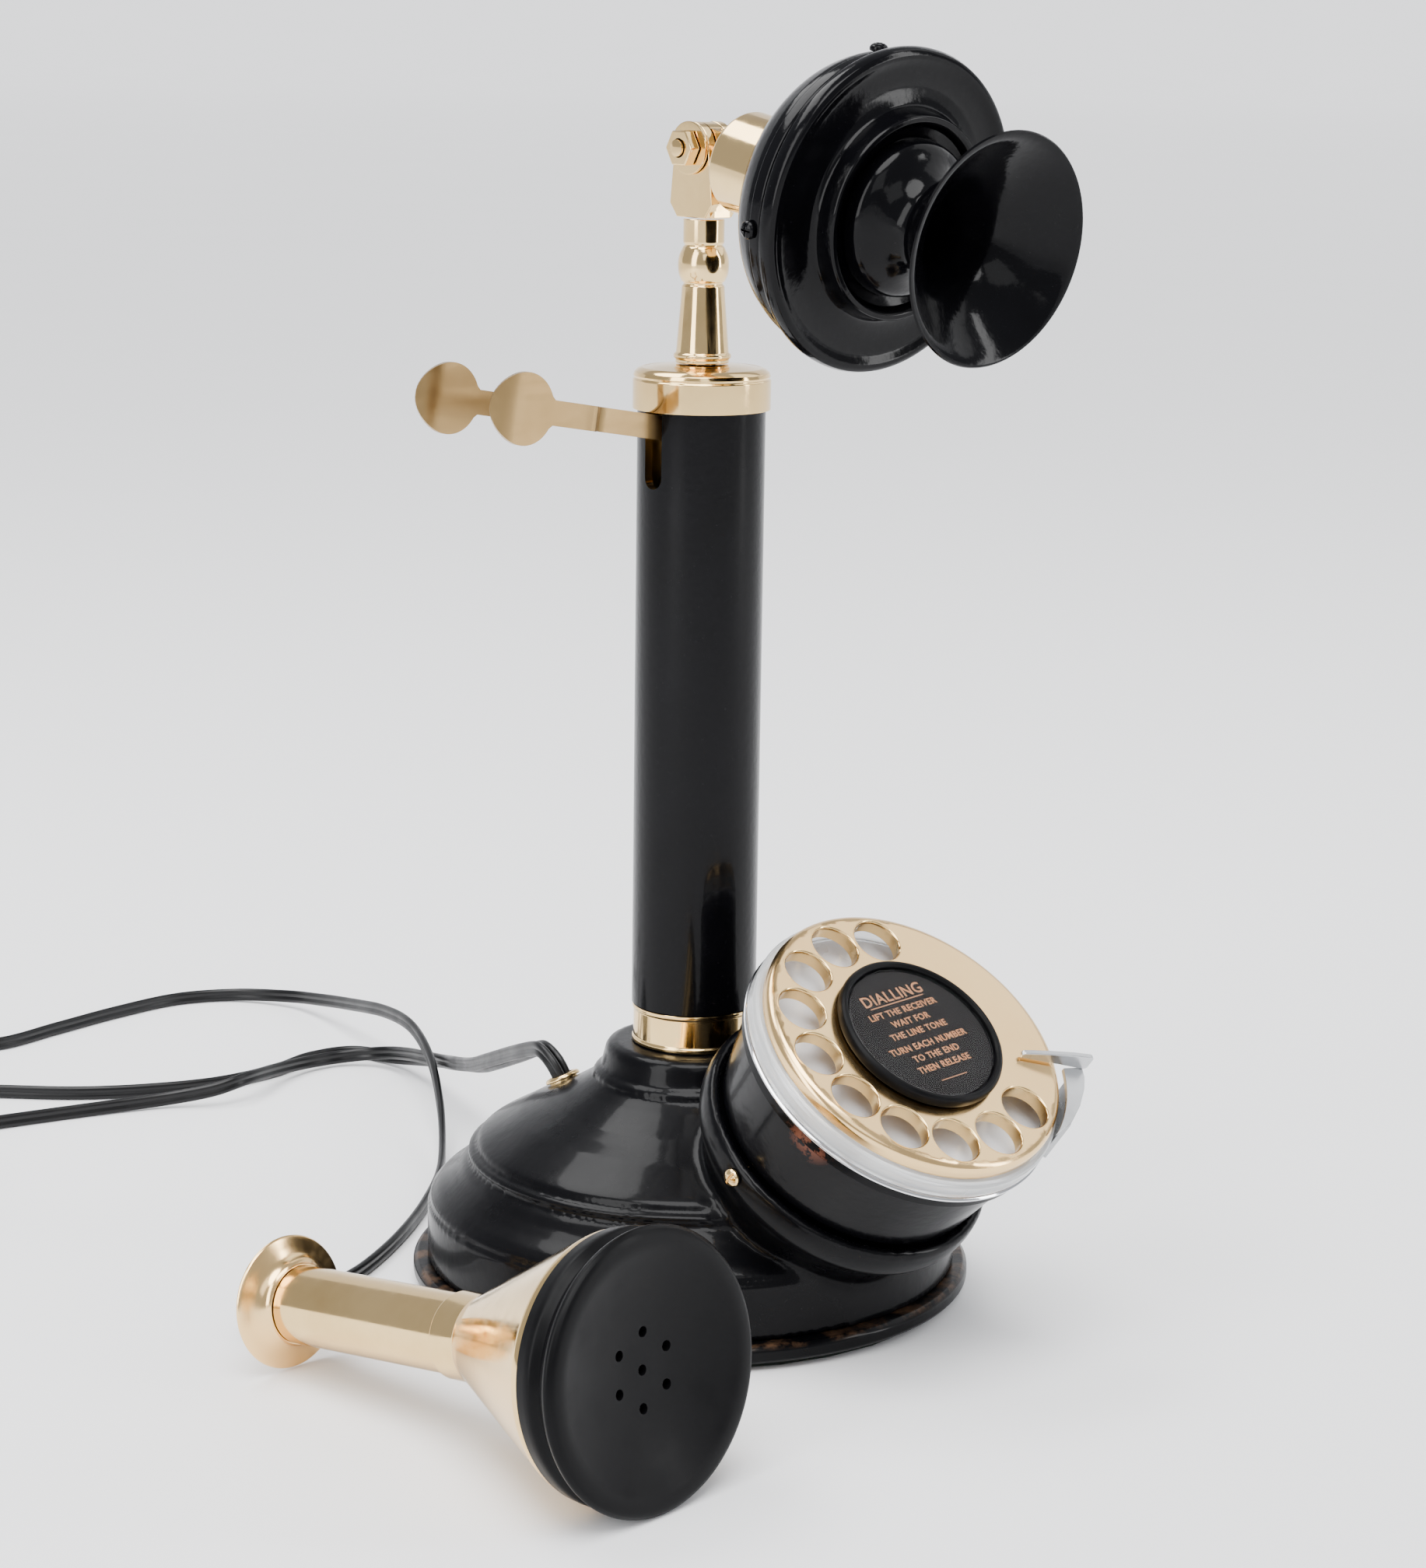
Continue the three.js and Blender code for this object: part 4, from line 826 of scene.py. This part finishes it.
def makeHookSpring():
    k = springShape
    clearSelection()
    bpy.ops.mesh.primitive_circle_add(vertices=12, radius=k["wire"] * mm, location=(k["radius"] * mm, 0, 0),
        rotation=(math.pi / 2, 0, 0))
    spring = bpy.context.object
    spring.name = "hookSpring"
    bpy.ops.object.transform_apply(location=True, rotation=True, scale=True)
    steps = k["turns"] * k["stepsPerTurn"]
    applyModifier(spring, "SCREW", angle=k["turns"] * 2 * math.pi, screw_offset=(k["high"] - k["low"]) * mm,
        steps=steps, render_steps=steps, use_merge_vertices=False)
    editAll(spring)
    bpy.ops.mesh.remove_doubles(threshold=weld)
    bpy.ops.mesh.select_all(action="DESELECT")
    bpy.ops.mesh.select_non_manifold()
    bpy.ops.mesh.edge_face_add()  # closes both cut ends of the wire
    selectAll()
    bpy.ops.mesh.normals_make_consistent(inside=False)
    settle(spring, placeAt((k["at"], 0, k["low"]), (1, 0, 0), (0, 0, 1)))
    shade(spring, 40)
    finish(spring, steel, "stand", "bright_steel", "hook_spring")
    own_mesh(spring)


# Transmitter. Heights run along its axis from the pivot; the cup's own start at its seat.
transmitterShape = {"seat": 38.6, "lugRadius": 12, "bore": 2.3, "boltRadius": 3, "tongue": 6, "thick": 3.6,
    "neck": 5.2, "flare": [(5.2, 10.5), (7.4, 11.6), (9.6, 13.2), (11.2, 14.5)],
    "cupBack": [(12.4, 0), (17, 0.5), (22, 2.1), (26.4, 4.7), (30, 8), (32.6, 11.4), (34.1, 14.8),
        (34.4, 16.2)], "cupRim": [(34.4, 55.4), (34.6, 55.6), (34.6, 57.8), (34.3, 58.4), (33.0, 58.4),
        (33.0, 54)], "cupInside": [(31.4, 12.2), (28.9, 9.2), (25.4, 6.3), (21.4, 3.8), (16.7, 2.1), (12, 1.6),
        (3.3, 1.6)], "faceEdge": [(9.5, 60.6), (35.6, 60.6), (36.8, 61.2), (37.0, 62.2), (37.0, 63.4),
        (36.6, 64.5), (35.9, 65.0), (35.2, 65.1), (34.4, 64.9), (33.6, 64.5)],
    "faceDish": [(32.5, 64.3), (29, 64.2), (26.2, 64.6), (24.7, 65.1)],
    "boss": [(24.3, 65.5), (23.9, 66.4), (23.3, 69.6), (22.9, 70.2), (21.9, 70.2), (21.2, 69.6), (20.4, 68.2),
        (17.6, 66.9), (9.5, 66.7)], "collar": [(30.0, 54.2), (32.7, 54.2), (32.7, 61), (30.0, 61)],
    "hornOutside": [(17.9, 67.6), (17.9, 68.9), (17.1, 71.9), (13.5, 74.9), (11.1, 78.4), (10.9, 81.9),
        (13.1, 86.9), (17.5, 91.9), (22.0, 95.8), (25.4, 97.3)], "hornLip": [(26.1, 97.7), (26.4, 98.0),
        (26.1, 98.35), (25.3, 98.3), (24.4, 97.8)], "hornInside": [(23.6, 97.2), (20.4, 94.6), (15.4, 90.6),
        (11.4, 86.2), (9.4, 81.9), (7.9, 77.9), (7.5, 74.0)], "screws": (96, 188, 312), "screwLevel": 56,
    "screw": [(0, 31), (1.2, 31), (1.2, 34.9), (2.1, 34.9), (2.1, 35.5), (1.8, 36.0), (1.2, 36.35), (0, 36.4)],
    "crossHalf": 0.25, "crossLong": 1.5, "crossFloor": 35.7}


def makeTransmitterLug():
    k, place = transmitterShape, transmitterPlace
    seat, radius, bolt, half = k["seat"], k["lugRadius"], k["boltRadius"], k["thick"] / 2
    line = [(0, 10.4), (4.6, 10.4)] + curved(k["flare"], 3)
    line += [(11.8, 15.2), (radius, 15.9), (radius, seat - 0.3), (bolt, seat - 0.3), (bolt, seat + 7.4),
        (0, seat + 7.4)]
    lug = turned("transmitterLug", line, place, 96, 0)
    neck = brick("neck", (-half, -k["neck"], 0), (half, k["neck"], 11.4), place, 0)
    boolean(lug, [rod(k["tongue"], -half, half, acrossPlace, 64), neck], "UNION")
    boolean(lug, [rod(k["bore"], -12, 12, acrossPlace)])
    tidy(lug, 0.3)
    finish(lug, polishedBrass, "transmitter", "polished_brass", "transmitter_lug")


def makeTransmitterBody():
    k, place = transmitterShape, transmitterPlace
    seat = k["seat"]
    line = [(3.3, seat), (12, seat)] + curved([(r, seat + z) for r, z in k["cupBack"]], 5) + k["cupRim"]
    line += [(r, seat + z) for r, z in k["cupInside"]]
    cup = turned("transmitterCup", line, place, 144, 0.12)
    finish(cup, glossLacquer, "transmitter", "black_lacquer", "transmitter_cup")

    plate = turned("transmitterFaceplate", k["faceEdge"] + curved(k["faceDish"], 3) + k["boss"], place, 144,
        0.14)
    merged(plate, [turned("collar", k["collar"], place, 96, 0.1)])
    finish(plate, glossLacquer, "transmitter", "black_lacquer", "transmitter_faceplate")

    line = [(7.5, 66.9), (17.2, 66.9)] + curved(k["hornOutside"], 4) + k["hornLip"] + curved(k["hornInside"], 4)
    mouth = turned("mouthpiece", line, place, 144, 0)
    finish(mouth, glossLacquer, "transmitter", "ebonite", "mouthpiece")


def makeTransmitterScrews():
    k = transmitterShape
    turn = transmitterPlace.to_3x3()
    middle = shifted(transmitterPlace, 0, 0, k["screwLevel"]).translation / mm
    half, long, floor = k["crossHalf"], k["crossLong"], k["crossFloor"]
    for number, angle in enumerate(k["screws"], 1):
        out = turn @ Vector((*polar(1, angle), 0))
        place = placeAt(middle, turn @ Vector((0, 0, 1)), out)
        screw = turned("transmitterScrew%d" % number, k["screw"], place, 40, 0.06)
        boolean(screw, [brick("cutter", (-long, -half, floor), (long, half, 38), place, 0),
                brick("cutter", (-half, -long, floor), (half, long, 38), place, 0)])
        tidy(screw)
        finish(screw, glossLacquer, "transmitter", "black_lacquer", "transmitter_screw_%d" % number)


# Dial.
dialShape = {"wheel": 38.0, "circle": 29.6, "hole": 5.85, "first": 73.5, "step": 25.5, "holes": 10,
    "card": 21.1, "cup": [(6, -33.6), (33.0, -33.6), (33.9, -32.9), (37.4, -13.2), (37.6, -12.7), (38.4, -12.2),
        (38.9, -11.7), (38.9, -9.7), (38.5, -9.3), (36, -9.3), (36, -12.4), (35.8, -12.9), (32.1, -31.8),
        (6, -31.8)], "bezel": [(34.5, -9), (39.3, -9), (39.8, -8.7), (39.8, -8.3), (39.3, -8), (34.5, -8)],
    "clearRing": [(37, -7.7), (39.2, -7.7), (39.5, -7.2), (39.5, -4.2), (39.1, -3.5), (38.4, -3.1), (37, -3.1)],
    "plate": [(3.8, -7.7), (36.6, -7.7), (36.6, -6.9), (3.8, -6.9)],
    "wheelEdge": [(-1.6, 0.1), (-1.0, -0.4), (-0.8, -2.5), (-0.1, -2.5), (0, -0.9), (-0.2, -0.1), (-0.7, 0.6),
        (-1.5, 1.0), (-2.6, 1.2)], "lipBack": [(0.6, 0.3), (0.6, 1.22), (0.45, 1.24)],
    "lipTop": [(0.34, 1.22), (0.08, 0.95), (0, 0.4)], "lipInside": [(0, -2.2), (0.14, -2.4), (0.32, -2.2),
        (0.34, 0.0)], "holder": [(-0.7, 1.5), (-0.1, 2.0), (0, 3.2), (-0.3, 4.1), (-0.9, 4.6), (-1.5, 4.6),
        (-2.0, 4.0), (-2.2, 2.3)], "cardIn": 2.6, "cardFrom": 2.6, "cardTo": 2.9}
# Words, letter height and level up the card.
cardRows = [("DIALLING", 3.4, 11.6), ("LIFT THE RECEIVER", 1.95, 7.2), ("WAIT FOR", 1.95, 4.0),
    ("THE LINE TONE", 1.95, 0.8), ("TURN EACH NUMBER", 1.95, -3.0), ("TO THE END", 1.95, -6.2),
    ("THEN RELEASE", 1.95, -9.4)]
letterShape = {"turn": 3.0, "perSize": 1.25, "space": 1.08, "thick": 0.03, "widen": 0.045, "level": 2.96,
    "rules": [((-8.8, 9.45, 2.92), (8.8, 9.7, 2.99)), ((-4.2, -13.4, 2.92), (4.2, -13.2, 2.99))]}
stopShape = {"legInner": 40.1, "legOuter": 41.3, "legFrom": -52, "legTo": -30, "low": -11.5, "high": 1,
    "crescentRadius": 39.0, "crescentFrom": -60, "crescentTo": -24,
    "crescentBack": [(44.5, -25), (44.5, -29), (43.9, -34), (42.6, -42), (41.2, -51)],
    "blade": [(27.6, 1.7), (44.6, 1.7), (45.2, 2.4), (45.3, 5.6), (44.6, 6.0), (40, 5.6), (34, 4.6), (30, 3.8),
        (27.8, 3.3), (27.2, 2.6)], "bladeAt": -25.2, "bladeHalf": 0.65}


def makeDialCup():
    w, d = dialShape, dialPlace
    finish(turned("dialCup", w["cup"], d, 160, 0.12), dialLacquer, "stand", "black_lacquer", "dial_cup")
    finish(turned("dialBezel", w["bezel"], d, 144, 0.1), chrome, "stand", "chrome_plate", "dial_bezel")
    ring = turned("dialClearRing", w["clearRing"], d, 144, 0.15)
    finish(ring, milkyAcrylic, "stand", "clear_acrylic", "dial_clear_ring")
    finish(turned("numberPlate", w["plate"], d, 128, 0.1), paleEnamel, "stand", "pale_plate", "number_plate")


def outFrom(radius, line):
    return [(radius + r, z) for r, z in line]


def makeFingerWheel():
    w, d = dialShape, dialPlace
    face = [(0, 0.1)] + outFrom(w["wheel"], w["wheelEdge"]) + [(0, 1.2)]
    wheel = turned("fingerWheel", face, d, 160, 0)
    bore = w["hole"]
    lip = outFrom(bore, w["lipBack"]) + curved(outFrom(bore, w["lipTop"]), 4) + outFrom(bore, w["lipInside"])
    lips = []
    for i in range(w["holes"]):
        place = shifted(d, *polar(w["circle"], w["first"] + i * w["step"]))
        boolean(wheel, [rod(bore + 0.5, -4, 4, place, 72)])
        lips.append(turned("lip", lip, place, 72, 0))
        lips[-1].data.materials.append(polishedBrass)
    finish(wheel, satinBrass, "dial", "satin_brass", "finger_wheel")
    merged(wheel, lips)
    tidy(wheel, 0, 40)

    edge = w["card"]
    holder = turned("cardHolder", [(0, 1.5)] + outFrom(edge, w["holder"]) + [(0, 2.3)], d, 128, 0.12)
    finish(holder, ebonite, "dial", "ebonite", "card_holder")
    card = turned("instructionCard", [(0, w["cardFrom"]), (edge - w["cardIn"], w["cardFrom"]),
            (edge - w["cardIn"], w["cardTo"]), (0, w["cardTo"])], d, 96, 0.05)
    finish(card, blackCard, "dial", "card", "instruction_card")


def makeLettering():
    k = letterShape
    place = dialPlace @ Matrix.Rotation(k["turn"] * deg, 4, "Z")
    pieces = []
    for words, size, level in cardRows:
        clearSelection()
        bpy.ops.object.text_add(location=(0, 0, 0))
        text = bpy.context.object.data
        text.body = words
        text.size = size * mm * k["perSize"]
        text.align_x = "CENTER"
        text.align_y = "CENTER"
        text.space_character = k["space"]
        text.extrude = k["thick"] * mm
        text.offset = k["widen"] * mm
        text.resolution_u = 3
        bpy.ops.object.convert(target="MESH")
        line = bpy.context.object
        line.matrix_world = shifted(place, 0, level, k["level"])
        bpy.ops.object.transform_apply(location=True, rotation=True, scale=True)
        pieces.append(line)
    pieces += [brick("rule", low, high, place, 0) for low, high in k["rules"]]
    letters = merged(pieces[0], pieces[1:])
    letters.name = "cardLettering"
    finish(letters, copperInk, "dial", "card")


def makeFingerStop():
    k, d = stopShape, dialPlace
    arc = [polar(k["legInner"], a) for a in range(k["legFrom"], k["legTo"] + 1, 2)]
    arc += [polar(k["legOuter"], a) for a in range(k["legTo"], k["legFrom"] - 1, -2)]
    leg = outlined("fingerStop", arc, k["low"], k["high"], d, 0.15)
    side = [polar(k["crescentRadius"], a) for a in range(k["crescentFrom"], k["crescentTo"], 3)]
    side += [polar(radius, a) for radius, a in k["crescentBack"]]
    crescent = outlined("crescent", side, 0.4, 1.6, d, 0.2)
    upright = d @ Matrix.Rotation(k["bladeAt"] * deg, 4, "Z") @ Matrix.Rotation(90 * deg, 4, "X")
    blade = outlined("blade", k["blade"], -k["bladeHalf"], k["bladeHalf"], upright, 0.25, 3)
    merged(leg, [crescent, blade])
    finish(leg, steel, "stand", "bright_steel", "finger_stop")


# Receiver. Heights run along its axis from the tail to the ear cap.
receiverShape = {"flange": [(3.3, -1.2), (7.4, -1.2), (7.6, -0.7), (13.6, -0.7), (14.6, -0.9), (15.3, -0.5),
        (15.6, 0.0), (15.3, 0.5), (14.4, 0.9)], "flangeFillet": [(13.2, 1.3), (11.2, 2.2), (9.9, 3.4),
        (9.4, 4.6)], "flangeInside": [(9.4, 5.0), (7.3, 5.0), (7.3, 12), (6, 12), (6, 1.5), (3.3, 1.5)],
    "handle": [(7.6, 5.3), (9.1, 5.3), (9.1, 58.6), (7.6, 58.6)], "bell": [(7.3, 52), (7.3, 58.9), (9.6, 58.9),
        (9.9, 59.3), (9.9, 66.4), (10.3, 67.2), (10.7, 68.2), (15.5, 78), (29.0, 105.4), (29.2, 106.2),
        (29.2, 107.5), (27.6, 107.5), (27.6, 106.4), (14.1, 79), (8.5, 68), (5.6, 65), (5.6, 52)],
    "dish": [(2, 115.2), (8, 115.4), (16, 116.4), (22, 117.7), (25.6, 118.7)],
    "rim": [(26.6, 119.0), (27.8, 119.15), (29.3, 119.1)], "rimEdge": [(30.2, 118.8), (30.95, 118.0),
        (31.1, 117.2), (30.6, 116.2)], "skirt": [(29.4, 115.5), (28.8, 114.8), (28.6, 113.4), (29.2, 112.5),
        (29.8, 112.0), (30.1, 111.2), (30.0, 109.9), (29.7, 107.8), (27.8, 107.8), (27.8, 112), (24, 113.2),
        (0, 113.2)], "holes": 6, "holeCircle": 8.2, "holeTurn": 24, "holeRadius": 1.2}


def makeReceiver():
    k, r = receiverShape, receiverPlace
    line = k["flange"] + curved(k["flangeFillet"], 3) + k["flangeInside"]
    finish(turned("tailFlange", line, r, 128, 0.1), satinBrass, "receiver", "polished_brass", "tail_flange")
    handle = turned("receiverHandle", k["handle"], r, 112, 0.12)
    finish(handle, polishedBrass, "receiver", "polished_brass", "receiver_handle")
    bell = turned("receiverBell", k["bell"], r, 144, 0.15)
    finish(bell, polishedBrass, "receiver", "polished_brass", "receiver_bell")
    line = [(0, k["dish"][0][1])] + curved(k["dish"], 3) + k["rim"] + curved(k["rimEdge"], 3) + k["skirt"]
    cap = turned("earCap", line, r, 144, 0.0)
    holes = [(0, 0)] + [polar(k["holeCircle"], i * 60 + k["holeTurn"]) for i in range(k["holes"])]
    for x, y in holes:
        boolean(cap, [rod(k["holeRadius"], 110, 122, shifted(r, x, y), 28)])
    tidy(cap)
    finish(cap, ebonite, "receiver", "ebonite", "ear_cap")


# CAD pieces that stay, with their finishes.
kept = {"felt_pad": greenFelt, "base_screw_1": steel, "base_screw_2": steel, "base_screw_3": steel,
    "column_socket": steel, "hook_bracket": steel, "hook_pivot_pin": steel, "switch_block": bakelite,
    "switch_blade_1": copperAlloy, "switch_blade_2": copperAlloy, "lug_nut": steel,
    "transmitter_diaphragm": darkSteel, "carbon_button": polishedBrass, "dial_frame": darkSteel,
    "dial_spindle": steel, "impulse_shaft": polishedBrass, "impulse_contacts": bakelite,
    "circuit_board": boardGreen, "sounder": ebonite, "receiver_diaphragm": darkSteel,
    "receiver_magnet": darkSteel, "card_window": windowAcrylic}


def dressKept():
    for name, material in kept.items():
        node = bpy.data.objects[name]
        node.data.materials.clear()
        node.data.materials.append(material)


# Floor and lights. Each lamp: kind, name, place, aim, power, size, spread.
studio = {"world": 0.60, "sky": (0.93, 0.95, 1.0, 1), "floor": (0.90, 0.90, 0.91), "floorSize": (90, 40, 1),
    "back": 14, "backCurve": 6, "lamps": [("SUN", "topLight", (-0.55, -0.6, 2.0), (0, 0, 0), 3.8, (1, 1),
        40 * deg), ("AREA", "leftBox", (-1.35, -0.10, 0.75), (0, 0, 0.12), 16, (0.55, 1.3), 0),
        ("AREA", "rightBox", (0.95, -1.15, 0.65), (0, 0, 0.14), 9, (0.22, 1.2), 0),
        ("AREA", "overBox", (-0.25, 0.55, 1.25), (0, 0, 0.15), 12, (0.9, 0.5), 0),
        ("AREA", "dialBox", (0.92, -0.22, 1.05), (0, -0.08, 0.08), 3.8, (0.9, 0.9), 0),
        ("AREA", "frontBox", (-0.75, -1.35, 1.05), (0, -0.05, 0.08), 3.5, (0.8, 0.8), 0)]}


def makeStudio():
    clearSelection()
    bpy.ops.mesh.primitive_plane_add(size=1, location=(0, 0, 0))
    floor = bpy.context.object
    floor.name = "studioFloor"
    floor.scale = studio["floorSize"]
    bpy.ops.object.transform_apply(location=True, rotation=True, scale=True)
    for edge in floor.data.edges:
        edge.select = all(floor.data.vertices[i].co.y > 1 for i in edge.vertices)
    for vertex in floor.data.vertices:
        vertex.select = vertex.co.y > 1
    for face in floor.data.polygons:
        face.select = False
    bpy.ops.object.mode_set(mode="EDIT")
    bpy.ops.mesh.extrude_region_move(TRANSFORM_OT_translate={"value": (0, 0, studio["back"])})
    bpy.ops.object.mode_set(mode="OBJECT")
    applyModifier(floor, "BEVEL", width=studio["backCurve"], segments=16, limit_method="ANGLE")
    shade(floor, 60)
    floor.location = (0, 0, -0.0001)
    floor.rotation_euler = (0, 0, viewer["turn"] * deg)
    bpy.ops.object.transform_apply(location=True, rotation=True, scale=False)
    mix = Mix("paleFloor", Roughness=0.9)
    mix.colour(mix.ramp(mix.noise(3), [(0.3, tuple(c * 0.99 for c in studio["floor"])),
            (0.7, studio["floor"])]))
    floor.data.materials.append(mix.material)
    world = bpy.data.worlds.new("studioWorld")
    bpy.context.scene.world = world
    world.use_nodes = True
    world.node_tree.nodes["Background"].inputs["Color"].default_value = studio["sky"]
    world.node_tree.nodes["Background"].inputs["Strength"].default_value = studio["world"]
    for kind, name, spot, aim, power, size, spread in studio["lamps"]:
        clearSelection()
        bpy.ops.object.light_add(type=kind, location=spot)
        lamp = bpy.context.object
        lamp.name = name
        lamp.data.energy = power
        if kind == "AREA":
            lamp.data.shape = "RECTANGLE"
            lamp.data.size, lamp.data.size_y = size
        else:
            lamp.data.angle = spread
        lamp.rotation_euler = (Vector(aim) - Vector(spot)).to_track_quat("-Z", "Y").to_euler()


makeBase()
print("base made")
makeDialScrew()
makeColumn()
makePost()
makePivot()
print("column and post made")
makeHookArm("hookArmNear", "hook_arm_near", 1)
makeHookArm("hookArmFar", "hook_arm_far", -1)
makeHookSpring()
makeTransmitterLug()
makeTransmitterBody()
makeTransmitterScrews()
print("hook and transmitter made")
makeDialCup()
makeFingerWheel()
makeLettering()
makeFingerStop()
print("dial made")
makeReceiver()
print("receiver made")
dressKept()
makeStudio()
print("studio made")
